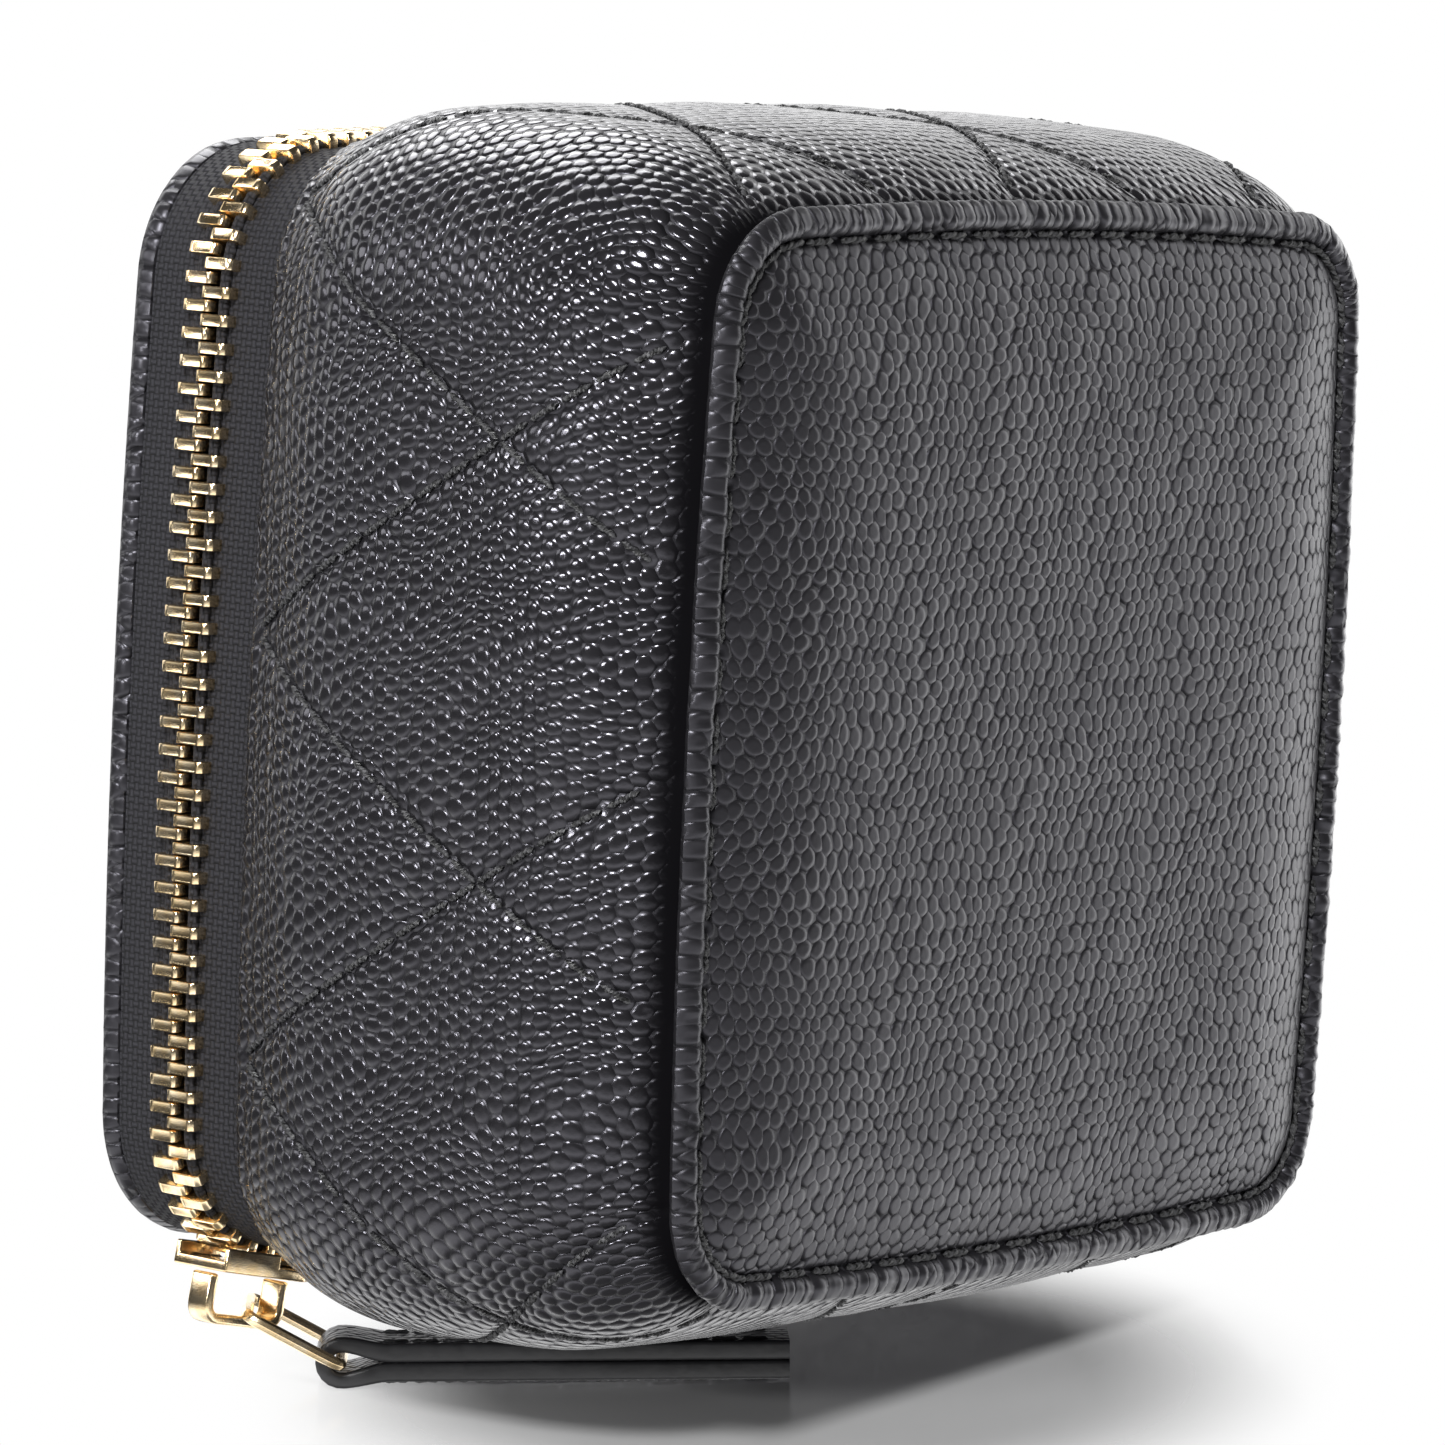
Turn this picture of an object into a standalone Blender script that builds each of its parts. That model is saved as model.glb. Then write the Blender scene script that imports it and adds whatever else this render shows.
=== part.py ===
"""A small square jewellery case in quilted leather, closed by a zip that runs round three sides.

Metres, +Z up. The case stands on its base at Z = 0, the front is -Y and the lid is hinged along +Y.
Every ring-shaped piece follows one plan, the route of the zip seen from above, at its own offset from it.
"""

import math

import bmesh
import bpy
from mathutils import Matrix, Vector

MM = 0.001

# Clearance between pieces that touch
GAP = 0.3 * MM

# Plan of the zip: four slightly bowed sides joined by round corners
ZIP_HALF = 51.5 * MM
CORNER_RADIUS = 13.0 * MM
SIDE_RADIUS = 800.0 * MM
PLAIN_STEPS = 48
PANEL_STEPS = 72

# Base panel, turned over at its rim and stitched
BASE_INSET = 2.5 * MM
BASE_THICKNESS = 2.4 * MM
RIM_ROUND = 0.9 * MM
BASE_STITCH_IN = 3.0 * MM
STITCH_GROOVE = 0.45 * MM
STITCH_HALF = 0.6 * MM

# Padded wall and the layers behind it
WALL_HEIGHT = 50.0 * MM
WALL_DEPTH = 4.6 * MM
WALL_TUCK = 3.2 * MM
WALL_CROWN = 4.2 * MM
WALL_LIP = 0.2 * MM
WALL_FULLNESS = 3.0
CORNER_FILL = 0.08
BOARD_THICKNESS = 1.2 * MM
LINING_THICKNESS = 1.0 * MM
FLOOR_PAD_THICKNESS = 2.5 * MM

# Diamond quilting of the wall
QUILT_REPEATS = 10
QUILT_STEPS = 10
QUILT_PHASE = 2
QUILT_RISE = 28.7 * MM
QUILT_TOP = 1.5 * MM
QUILT_DEPTH = 0.7 * MM

# Inside fittings
ROLL_COUNT = 4
ROLL_RADIUS = 5.5 * MM
ROLL_END_SPACE = 3.8 * MM
ROLL_DOME = 1.6 * MM
ROLL_SIDES = 16
ROLL_FRONT_SPACE = 2.0 * MM
DIVIDER_THICKNESS = 2.5 * MM
DIVIDER_HEIGHT = 33.0 * MM

# Zip
TAPE_THICKNESS = 0.6 * MM
BODY_TAPE_SHOWS = 4.9 * MM
LID_TAPE_SHOWS = 5.0 * MM
TAPE_STEP = 4.0 * MM
CHAIN_HALF = 2.5 * MM
TOOTH_PITCH = 2.5 * MM
TOOTH_WIDTH = 1.05 * MM
TOOTH_SLOPE = 0.12 * MM
TOOTH_HEAD = 0.9 * MM
TOOTH_HALF_THICKNESS = 1.1 * MM
HEAD_HALF_THICKNESS = 0.9 * MM
CORD_HALF = 0.45 * MM
STOP_LENGTH = 2.2 * MM
TOP_STOP_LENGTH = 1.8 * MM
END_LENGTH = 28.0 * MM

# Lid
LID_THICKNESS = 2.5 * MM
LID_CROWN = 1.2 * MM
LID_BOARD_THICKNESS = 1.5 * MM
LID_LINING_THICKNESS = 1.0 * MM
LID_STITCH_IN = 3.4 * MM
LID_RANGE_CLEAR = 2.75 * MM

# Hinge of leather at the back
HINGE_HALF = 31.5 * MM
HINGE_THICKNESS = 1.2 * MM

# Slider, parked past the corner at the closed end of the zip
SLIDER_FROM_END = 8.257 * MM
SLIDER_HALF_LENGTH = 6.5 * MM
SLIDER_REAR_HALF = 3.3 * MM
SLIDER_HALF_WIDTH = 4.0 * MM
SLIDER_NOSE_HALF = 2.2 * MM
PLATE_THICKNESS = 1.0 * MM
PLATE_CLEAR = 0.4 * MM
FLANGE_THICKNESS = 0.6 * MM
WEDGE_START = 3.6 * MM
WEDGE_LENGTH = 2.2 * MM
WEDGE_HALF = 1.4 * MM

# Crown on the slider
CROWN_WIDTH = 2.6 * MM
CROWN_THICKNESS = 1.0 * MM
CROWN_REAR = 5.5 * MM
CROWN_FRONT = 4.2 * MM
CROWN_HEIGHT = 4.1 * MM
CROWN_BEND = 1.3 * MM

# Pull: a wire ring through the crown, and a folded strap on the ring
WIRE_RADIUS = 0.6 * MM
LINK_LENGTH = 9.8 * MM
LINK_WIDTH = 10.0 * MM
LINK_BEND = 1.2 * MM
LINK_FORWARD = 1.0 * MM
LINK_TILT = math.radians(26.0)
PULL_SWIVEL = math.radians(49.0)
STRAP_WIDTH = 7.0 * MM
STRAP_LENGTH = 41.0 * MM
STRAP_LEAN = math.radians(-3.0)
STRAP_HALF = 1.8 * MM
STRAP_LOOP = 2.4 * MM
STRAP_NECK = 9.0 * MM

# Colours
BLACK_LEATHER = (0.018, 0.018, 0.020)
BLACK_FABRIC = (0.012, 0.012, 0.013)
BLACK_LINING = (0.030, 0.028, 0.028)
GREY_BOARD = (0.28, 0.27, 0.25)
GOLD = (0.83, 0.66, 0.40)

# Heights that follow from the sizes above
WALL_FOOT = BASE_THICKNESS + GAP
ZIP_HEIGHT = WALL_HEIGHT + BODY_TAPE_SHOWS + CHAIN_HALF
LID_FOOT = ZIP_HEIGHT + CHAIN_HALF + LID_TAPE_SHOWS
BOARD_TOP = WALL_FOOT + BOARD_THICKNESS
FLOOR_FOOT = BOARD_TOP + GAP
FLOOR_TOP = FLOOR_FOOT + FLOOR_PAD_THICKNESS

# Offsets from the zip's route that follow from the sizes above
BOARD_OUT = -WALL_DEPTH - GAP
BOARD_IN = BOARD_OUT - BOARD_THICKNESS
LINING_OUT = BOARD_IN - GAP
LINING_IN = LINING_OUT - LINING_THICKNESS
TAPE_OUT = -GAP
TAPE_IN = TAPE_OUT - TAPE_THICKNESS


def heading(angle):
    """The unit vector in the plan that points along an angle."""
    return Vector((math.cos(angle), math.sin(angle)))


class Plan:
    """The zip's route from above, run clockwise from the middle of the -X side, as eight arcs."""

    def __init__(self, half, corner, side):
        reach = side - half
        span = side - corner
        self.corner, self.side, self.reach = corner, side, reach
        self.corner_centre = (math.sqrt(2 * span * span - reach * reach) - reach) / 2
        self.half_turn = math.atan2(self.corner_centre, self.corner_centre + reach)
        self.side_length = 2 * side * self.half_turn
        self.corner_length = corner * (math.pi / 2 - 2 * self.half_turn)
        self.quarter = self.side_length + self.corner_length
        self.length = 4 * self.quarter

    def arc(self, s):
        """The centre, radius and facing angle of the arc at the distance s along the route."""
        turn, rest = divmod(s + self.side_length / 2, self.quarter)
        facing = math.pi - turn * math.pi / 2
        if rest <= self.side_length:
            return heading(facing) * -self.reach, self.side, facing + self.half_turn - rest / self.side
        along = (rest - self.side_length) / self.corner
        centre = heading(facing - math.pi / 4) * (self.corner_centre * math.sqrt(2))
        return centre, self.corner, facing - self.half_turn - along

    def point(self, s, offset, z):
        """The point at s, moved outwards from the route by offset, at the height z."""
        centre, radius, angle = self.arc(s)
        flat = centre + heading(angle) * (radius + offset)
        return Vector((flat.x, flat.y, z))

    def ring(self, offset, z, steps):
        """Points at even steps right round the plan."""
        return [self.point(self.length * i / steps, offset, z) for i in range(steps)]


PLAN = Plan(ZIP_HALF, CORNER_RADIUS, SIDE_RADIUS)
BACK = PLAN.quarter
TAPE_LEFT = BACK - HINGE_HALF - GAP
TAPE_RIGHT = BACK - PLAN.length + HINGE_HALF + GAP
SLIDER_AT = TAPE_LEFT - SLIDER_FROM_END
HINGE_AXIS = PLAN.point(BACK, LID_RANGE_CLEAR, ZIP_HEIGHT)


def material(name, colour, roughness, metallic=0.0):
    """A plain Principled material."""
    made = bpy.data.materials.new(name)
    made.use_nodes = True
    shader = made.node_tree.nodes["Principled BSDF"]
    shader.inputs["Base Color"].default_value = (*colour, 1.0)
    shader.inputs["Roughness"].default_value = roughness
    shader.inputs["Metallic"].default_value = metallic
    made.diffuse_color = (*colour, 1.0)
    return made


def leather(name):
    return material(name, BLACK_LEATHER, 0.45)


def fabric(name):
    return material(name, BLACK_FABRIC, 0.9)


def lining(name):
    return material(name, BLACK_LINING, 0.85)


def board(name):
    return material(name, GREY_BOARD, 0.9)


def gold(name):
    return material(name, GOLD, 0.22, 1.0)


def place(name, mesh_data, finish, sharp=math.radians(40)):
    """Links an object that carries the data and one material."""
    mesh_data.materials.append(finish)
    if isinstance(mesh_data, bpy.types.Mesh):
        mesh_data.shade_smooth()
        mesh_data.set_sharp_from_angle(angle=sharp)
    made = bpy.data.objects.new(name, mesh_data)
    bpy.context.scene.collection.objects.link(made)
    return made


def from_bmesh(name, bm, finish):
    """Closes off a bmesh, with its faces turned outwards, and places it."""
    bmesh.ops.recalc_face_normals(bm, faces=bm.faces)
    data = bpy.data.meshes.new(name)
    bm.to_mesh(data)
    bm.free()
    return place(name, data, finish)


def skin(name, loops, finish, closed=False):
    """Joins loops of points that have equal counts, and caps the two ends unless they are joined too."""
    bm = bmesh.new()
    rows = [[bm.verts.new(point) for point in loop] for loop in loops]
    for i in range(len(rows) if closed else len(rows) - 1):
        near, far = rows[i], rows[(i + 1) % len(rows)]
        for j in range(len(near)):
            k = (j + 1) % len(near)
            bm.faces.new((near[j], near[k], far[k], far[j]))
    if not closed:
        bm.faces.new(rows[0])
        bm.faces.new(rows[-1])
    return from_bmesh(name, bm, finish)


def extruded(name, outline, start, end, finish):
    """A solid with the outline (x, z) in the XZ plane, drawn out along Y from start to end."""
    loops = [[Vector((x, y, z)) for x, z in outline] for y in (start, end)]
    return skin(name, loops, finish)


def slab(name, rings, finish):
    """A flat piece from rings of (offset, z), capped at both ends."""
    return skin(name, [PLAN.ring(offset, z, PLAIN_STEPS) for offset, z in rings], finish)


def sleeve(name, outer, inner, foot, top, finish):
    """An upright ring between two offsets."""
    profile = ((outer, foot), (outer, top), (inner, top), (inner, foot))
    return skin(name, [PLAN.ring(offset, z, PLAIN_STEPS) for offset, z in profile], finish, closed=True)


def band(name, start, end, section, finish):
    """A strip along the route, with one section of (offset, z) points."""
    count = max(1, math.ceil((end - start) / TAPE_STEP))
    stations = [start + (end - start) * i / count for i in range(count + 1)]
    return skin(name, [[PLAN.point(s, offset, z) for offset, z in section] for s in stations], finish)


def box_section(outer, inner, low, high):
    """The corners of an upright rectangle."""
    return ((outer, low), (outer, high), (inner, high), (inner, low))


def hide_tool(tool):
    """Marks a piece that only shapes another one."""
    tool.hide_render = True
    tool.display_type = "WIRE"


def combine(target, tool, operation):
    """Adds a Boolean of the tool to the target."""
    modifier = target.modifiers.new(tool.name, "BOOLEAN")
    modifier.operation = operation
    modifier.object = tool
    modifier.solver = "EXACT"
    hide_tool(tool)


def carried(axis, pieces):
    """Parents pieces to the empty on their joint, where they already stand."""
    for piece in pieces:
        piece.parent = axis
        piece.matrix_parent_inverse = axis.matrix_world.inverted()


def joint(name, frame):
    """An empty at a joint's axis."""
    made = bpy.data.objects.new(name, None)
    made.matrix_world = frame
    bpy.context.scene.collection.objects.link(made)
    return made


def base_panel():
    edge = -BASE_INSET
    stitch = edge - BASE_STITCH_IN
    rings = (
        (stitch - STITCH_HALF, 0.0),
        (stitch, STITCH_GROOVE),
        (stitch + STITCH_HALF, 0.0),
        (edge - RIM_ROUND, 0.0),
        (edge, RIM_ROUND),
        (edge, BASE_THICKNESS - RIM_ROUND),
        (edge - RIM_ROUND, BASE_THICKNESS),
    )
    return skin("base_panel", [PLAN.ring(*ring, PANEL_STEPS) for ring in rings], leather("base leather"))


def wall_offset(rise, s):
    """How far the wall stands out at a share of its height: tucked in at the foot, full half way up."""
    level = WALL_LIP * rise - WALL_TUCK * (1 - rise)
    middle = (WALL_LIP - WALL_TUCK) / 2
    along = (s / PLAN.quarter + 0.5) % 1.0
    fill = 1 + CORNER_FILL * abs(2 * along - 1) ** 4
    return level + (WALL_CROWN - middle) * fill * (1 - abs(2 * rise - 1) ** WALL_FULLNESS)


def to_nearest(value):
    """Distance to the nearest whole number."""
    return abs(value - round(value))


def quilt(column, row):
    """Depth of the stitched channels at a grid point, deepest on the diamond lines."""
    across, down = column / QUILT_STEPS, row / QUILT_STEPS
    nearest = min(to_nearest(across - down), to_nearest(across + down))
    return QUILT_DEPTH * (1 - 2 * nearest) ** 3


def quilted_wall():
    """A ring whose grid is cut along the diamond stitch lines, so that its edges follow them."""
    columns = QUILT_REPEATS * QUILT_STEPS
    step = QUILT_RISE * 2 / QUILT_STEPS
    crossing = WALL_HEIGHT - QUILT_TOP
    rows = int((crossing - WALL_FOOT - QUILT_TOP) / step)
    levels = [(crossing - row * step, row) for row in range(rows + 1)]
    levels = [(WALL_HEIGHT, None), *levels, (WALL_FOOT, None)]
    bm = bmesh.new()
    grid = []
    for z, row in levels:
        rise = (z - WALL_FOOT) / (WALL_HEIGHT - WALL_FOOT)
        loop = []
        for column in range(columns):
            s = PLAN.length * column / columns
            depth = 0.0 if row is None else quilt(column + QUILT_PHASE, row)
            loop.append(bm.verts.new(PLAN.point(s, wall_offset(rise, s) - depth, z)))
        grid.append((row, loop))
    for (row, upper), (_, lower) in zip(grid, grid[1:]):
        for i in range(columns):
            j = (i + 1) % columns
            falling = row is not None and (i + QUILT_PHASE - row) % QUILT_STEPS == 0
            if falling:
                bm.faces.new((upper[i], upper[j], lower[j]))
                bm.faces.new((upper[i], lower[j], lower[i]))
            else:
                bm.faces.new((upper[i], upper[j], lower[i]))
                bm.faces.new((upper[j], lower[j], lower[i]))
    inside = [[bm.verts.new(point) for point in PLAN.ring(-WALL_DEPTH, z, columns)]
              for z in (WALL_FOOT, WALL_HEIGHT)]
    for near, far in ((grid[-1][1], inside[0]), (inside[0], inside[1]), (inside[1], grid[0][1])):
        for i in range(columns):
            j = (i + 1) % columns
            bm.faces.new((near[i], near[j], far[j], far[i]))
    return from_bmesh("quilted_wall", bm, leather("wall leather"))


def body_layers():
    """Boards, lining and floor pad behind the leather of the body."""
    slab("base_board", ((LINING_OUT, WALL_FOOT), (LINING_OUT, BOARD_TOP)), board("base board"))
    sleeve("wall_board", BOARD_OUT, BOARD_IN, WALL_FOOT, WALL_HEIGHT - GAP, board("wall board"))
    sleeve("wall_lining", LINING_OUT, LINING_IN, FLOOR_FOOT, WALL_HEIGHT, lining("wall lining"))
    pad = LINING_IN - GAP
    rings = ((pad, FLOOR_FOOT), (pad, FLOOR_TOP - GAP), (pad - GAP, FLOOR_TOP))
    slab("floor_pad", rings, lining("floor pad"))


def ring_roll(name, y):
    """A soft roll along X with domed ends, lying on the floor pad."""
    middle = Vector((0.0, y, FLOOR_TOP + GAP + ROLL_RADIUS))
    half = ZIP_HALF + LINING_IN - GAP - ROLL_END_SPACE
    loops = []
    for x, share in ((-half, 0.55), (ROLL_DOME - half, 1.0), (half - ROLL_DOME, 1.0), (half, 0.55)):
        turns = [2 * math.pi * i / ROLL_SIDES for i in range(ROLL_SIDES)]
        spokes = [Vector((0.0, math.cos(turn), math.sin(turn))) for turn in turns]
        loops.append([middle + Vector((x, 0.0, 0.0)) + spoke * ROLL_RADIUS * share for spoke in spokes])
    skin(name, loops, lining(name))


def inside_fittings():
    """Ring rolls at the front of the case and one divider behind them."""
    room = ZIP_HALF + LINING_IN - GAP
    step = 2 * ROLL_RADIUS + GAP
    first = -room + ROLL_FRONT_SPACE + ROLL_RADIUS
    for number in range(ROLL_COUNT):
        ring_roll(f"ring_roll_{number + 1}", first + number * step)
    start = first + (ROLL_COUNT - 1) * step + ROLL_RADIUS + GAP
    foot = FLOOR_TOP + GAP
    top = foot + DIVIDER_HEIGHT
    ease = DIVIDER_THICKNESS / 2
    outline = ((-room, foot), (room, foot), (room, top - ease), (room - ease, top), (ease - room, top),
               (-room, top - ease))
    extruded("divider", outline, start, start + DIVIDER_THICKNESS, lining("divider"))


def tapes():
    """Woven tape on both sides of the zip; the lid's tape has its own ends where it folds at the hinge."""
    low = (WALL_HEIGHT + GAP, ZIP_HEIGHT - CHAIN_HALF - GAP)
    high = (ZIP_HEIGHT + CHAIN_HALF + GAP, LID_FOOT - GAP)
    band("zip_tape_body", TAPE_RIGHT, TAPE_LEFT, box_section(TAPE_OUT, TAPE_IN, *low), fabric("body tape"))
    section = box_section(TAPE_OUT, TAPE_IN, *high)
    left, right = TAPE_LEFT - END_LENGTH, TAPE_RIGHT + END_LENGTH
    return (
        band("zip_tape_lid", right + GAP, left - GAP, section, fabric("lid tape")),
        band("zip_tape_lid_end_left", left, TAPE_LEFT, section, fabric("lid tape left end")),
        band("zip_tape_lid_end_right", TAPE_RIGHT, right, section, fabric("lid tape right end")),
    )


def comb(name, centres, up):
    """Teeth on their edge cord. up is +1 where the heads point up, on the body, and -1 on the lid."""
    cord_low, cord_high = -CHAIN_HALF + 2 * GAP, -CHAIN_HALF + 2 * GAP + 2 * CORD_HALF
    cord = box_section(CORD_HALF, -CORD_HALF, cord_low, cord_high)
    tooth = (
        (TOOTH_HALF_THICKNESS, -CHAIN_HALF),
        (HEAD_HALF_THICKNESS, TOOTH_HEAD),
        (-HEAD_HALF_THICKNESS, TOOTH_HEAD),
        (-TOOTH_HALF_THICKNESS, -CHAIN_HALF),
    )
    loops = []
    for centre in sorted(centres):
        before, after = centre - TOOTH_WIDTH / 2, centre + TOOTH_WIDTH / 2
        full_from, full_to = before + TOOTH_SLOPE, after - TOOTH_SLOPE
        for s, section in ((before, cord), (full_from, tooth), (full_to, tooth), (after, cord)):
            loops.append([PLAN.point(s, offset, ZIP_HEIGHT + up * z) for offset, z in section])
    return skin(name, loops[1:-1], gold(name))


def teeth():
    """Both rows of teeth, half a pitch apart, cut where the zip folds at the hinge."""
    first = TAPE_RIGHT + STOP_LENGTH + 2 * GAP + TOOTH_WIDTH
    last = SLIDER_AT + WEDGE_START - GAP - TOOTH_WIDTH
    count = int((last - first) / TOOTH_PITCH)
    body = [last - number * TOOTH_PITCH for number in range(count)]
    lid = [centre - TOOTH_PITCH / 2 for centre in body]
    left, right = TAPE_LEFT - END_LENGTH, TAPE_RIGHT + END_LENGTH
    comb("zip_teeth_body", [s for s in body if s < left], 1)
    comb("zip_teeth_body_end", [s for s in body if s >= left], 1)
    return (
        comb("zip_teeth_lid", [s for s in lid if right < s < left], -1),
        comb("zip_teeth_lid_end_left", [s for s in lid if s >= left], -1),
        comb("zip_teeth_lid_end_right", [s for s in lid if s <= right], -1),
    )


def stops():
    """The bottom stop across both tapes, and a top stop at the closed end of each tape."""
    start = TAPE_RIGHT + GAP
    low, high = ZIP_HEIGHT - CHAIN_HALF, ZIP_HEIGHT + CHAIN_HALF
    section = box_section(TOOTH_HALF_THICKNESS, -TOOTH_HALF_THICKNESS, low, high)
    band("zip_bottom_stop", start, start + STOP_LENGTH, section, gold("bottom stop"))
    near, far = WEDGE_HALF + GAP, CHAIN_HALF
    start = SLIDER_AT + WEDGE_START + GAP
    made = []
    for name, low, high in (
        ("zip_top_stop_body", ZIP_HEIGHT - far, ZIP_HEIGHT - near),
        ("zip_top_stop_lid", ZIP_HEIGHT + near, ZIP_HEIGHT + far),
    ):
        section = box_section(HEAD_HALF_THICKNESS, -HEAD_HALF_THICKNESS, low, high)
        made.append(band(name, start, start + TOP_STOP_LENGTH, section, gold(name)))
    return made[1]


def lid_panel():
    """A thin padded panel with a turned and stitched rim and a low crown."""
    top = LID_FOOT + LID_THICKNESS
    rims = (
        (-RIM_ROUND, LID_FOOT),
        (0.0, LID_FOOT + RIM_ROUND),
        (0.0, top - RIM_ROUND),
        (-RIM_ROUND, top),
        (-LID_STITCH_IN + STITCH_HALF, top),
        (-LID_STITCH_IN, top - STITCH_GROOVE),
        (-LID_STITCH_IN - STITCH_HALF, top),
    )
    loops = [PLAN.ring(*rim, PANEL_STEPS) for rim in rims]
    for share, height in ((0.75, 0.7), (0.4, 1.0)):
        loops.append([Vector((p.x * share, p.y * share, top + height * LID_CROWN)) for p in loops[6]])
    return skin("lid_panel", loops, leather("lid leather"))


def lid_layers():
    """Board and lining under the lid's leather, inside its tape."""
    edge = TAPE_IN - GAP
    top = LID_FOOT - GAP
    foot = top - LID_BOARD_THICKNESS
    stiff = slab("lid_board", ((edge, foot), (edge, top)), board("lid board"))
    top = foot - GAP
    foot = top - LID_LINING_THICKNESS
    soft = slab("lid_lining", ((edge - GAP, foot), (edge, foot + GAP), (edge, top)), lining("lid lining"))
    return stiff, soft


def hinge_leaves():
    """The leather hinge as two leaves that meet at the height of the zip."""
    start, end = BACK - HINGE_HALF, BACK + HINGE_HALF
    low = box_section(0.0, -HINGE_THICKNESS, WALL_HEIGHT + GAP, ZIP_HEIGHT - GAP / 2)
    high = box_section(0.0, -HINGE_THICKNESS, ZIP_HEIGHT + GAP / 2, LID_FOOT - GAP)
    band("hinge_leaf_body", start, end, low, leather("hinge body side"))
    return band("hinge_leaf_lid", start, end, high, leather("hinge lid side"))


def slider_frame():
    """Where the slider stands: X along the zip towards its closed end, Y outwards and Z up."""
    _, _, angle = PLAN.arc(SLIDER_AT)
    spot = PLAN.point(SLIDER_AT, 0.0, ZIP_HEIGHT)
    return Matrix.Translation(spot) @ Matrix.Rotation(angle - math.pi / 2, 4, "Z")


def chord_drop():
    """How far the corner falls away from the slider's straight plates at their ends."""
    return CORNER_RADIUS - math.sqrt(CORNER_RADIUS**2 - SLIDER_HALF_LENGTH**2)


def zip_slider(frame):
    """An outer and an inner plate joined by the wedge that parts the teeth, with side flanges outside."""
    outline = [
        (-SLIDER_HALF_LENGTH, SLIDER_REAR_HALF),
        (0.0, SLIDER_HALF_WIDTH),
        (WEDGE_START, SLIDER_HALF_WIDTH),
        (SLIDER_HALF_LENGTH, SLIDER_NOSE_HALF),
    ]
    outline += [(x, -z) for x, z in reversed(outline)]
    inner_face = TOOTH_HALF_THICKNESS + PLATE_CLEAR
    back_face = -inner_face - chord_drop()
    outer = inner_face + PLATE_THICKNESS
    slider = extruded("zip_slider", outline, inner_face, outer, gold("slider"))
    back_low = back_face - PLATE_THICKNESS
    back = extruded("slider_back_plate", outline, back_low, back_face, gold("slider back"))
    end = WEDGE_START + WEDGE_LENGTH
    wedge_outline = ((WEDGE_START, 0.0), (end, WEDGE_HALF), (end, -WEDGE_HALF))
    low, high = back_face - PLATE_THICKNESS / 2, outer - PLATE_THICKNESS / 2
    wedge = extruded("slider_wedge", wedge_outline, low, high, gold("wedge"))
    flange_edge = SLIDER_REAR_HALF - FLANGE_THICKNESS
    tools = [back, wedge]
    for side, name in ((1, "slider_flange_upper"), (-1, "slider_flange_lower")):
        strip = (
            (-SLIDER_HALF_LENGTH, side * flange_edge),
            (0.0, side * (SLIDER_HALF_WIDTH - FLANGE_THICKNESS)),
            (0.0, side * SLIDER_HALF_WIDTH),
            (-SLIDER_HALF_LENGTH, side * SLIDER_REAR_HALF),
        )
        tools.append(extruded(name, strip, TAPE_OUT + 2 * GAP, high, gold(name)))
    for tool in tools:
        combine(slider, tool, "UNION")
        tool.matrix_world = frame
    slider.matrix_world = frame
    return slider


def arch(rear, front, foot, height, bend):
    """Points of an arch in the XY plane with round shoulders, and the way each one faces."""
    points = [(Vector((-rear, foot, 0.0)), math.pi)]
    for middle, start in (((bend - rear), math.pi), ((front - bend), math.pi / 2)):
        for i in range(5):
            angle = start - math.pi / 2 * i / 4
            centre = Vector((middle, foot + height - bend, 0.0))
            points.append((centre + heading(angle).to_3d() * bend, angle))
    return [*points, (Vector((front, foot, 0.0)), 0.0)]


def slider_crown(frame):
    """A broad flat band bent into an arch over the outer plate."""
    foot = TOOTH_HALF_THICKNESS + PLATE_CLEAR + PLATE_THICKNESS + GAP
    loops = []
    for spot, angle in arch(CROWN_REAR, CROWN_FRONT, foot, CROWN_HEIGHT, CROWN_BEND):
        out = Vector((math.cos(angle), math.sin(angle), 0.0)) * (CROWN_THICKNESS / 2)
        across = Vector((0.0, 0.0, CROWN_WIDTH / 2))
        loops.append([spot + out + across, spot + out - across, spot - out - across, spot - out + across])
    crown = skin("slider_crown", loops, gold("crown"))
    crown.matrix_world = frame
    return crown


def link_frame(slider):
    """Where the pull hangs: X along the pull, Y away from the case and Z along the bar in the crown."""
    inside = TOOTH_HALF_THICKNESS + PLATE_CLEAR + PLATE_THICKNESS + GAP + CROWN_HEIGHT - CROWN_THICKNESS / 2
    bar = slider @ Vector((LINK_FORWARD, inside - WIRE_RADIUS - GAP, 0.0))
    return Matrix.Translation(bar) @ Matrix.Rotation(PULL_SWIVEL, 4, "Y")


def pull_link(frame):
    """A rectangular ring of round wire: one bar lies in the crown and the other in the strap."""
    half = LINK_WIDTH / 2
    corners = ((0.0, -half), (LINK_LENGTH, -half), (LINK_LENGTH, half), (0.0, half))
    turns = (math.pi, 1.5 * math.pi, 0.0, 0.5 * math.pi)
    points = []
    for (x, z), start in zip(corners, turns):
        inward = Vector((math.copysign(LINK_BEND, LINK_LENGTH / 2 - x), 0.0, math.copysign(LINK_BEND, -z)))
        for i in range(4):
            angle = start + math.pi / 2 * i / 3
            turn = heading(angle) * LINK_BEND
            points.append(Vector((x, 0.0, z)) + inward + Vector((turn.x, 0.0, turn.y)))
    curve = bpy.data.curves.new("pull_link", "CURVE")
    curve.dimensions = "3D"
    curve.bevel_depth = WIRE_RADIUS
    curve.bevel_resolution = 2
    spline = curve.splines.new("POLY")
    spline.points.add(len(points) - 1)
    for spot, point in zip(spline.points, points):
        spot.co = (*point, 1.0)
    spline.use_cyclic_u = True
    link = place("pull_link", curve, gold("link"))
    link.matrix_world = frame @ Matrix.Rotation(LINK_TILT, 4, "Z")
    return link


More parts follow.
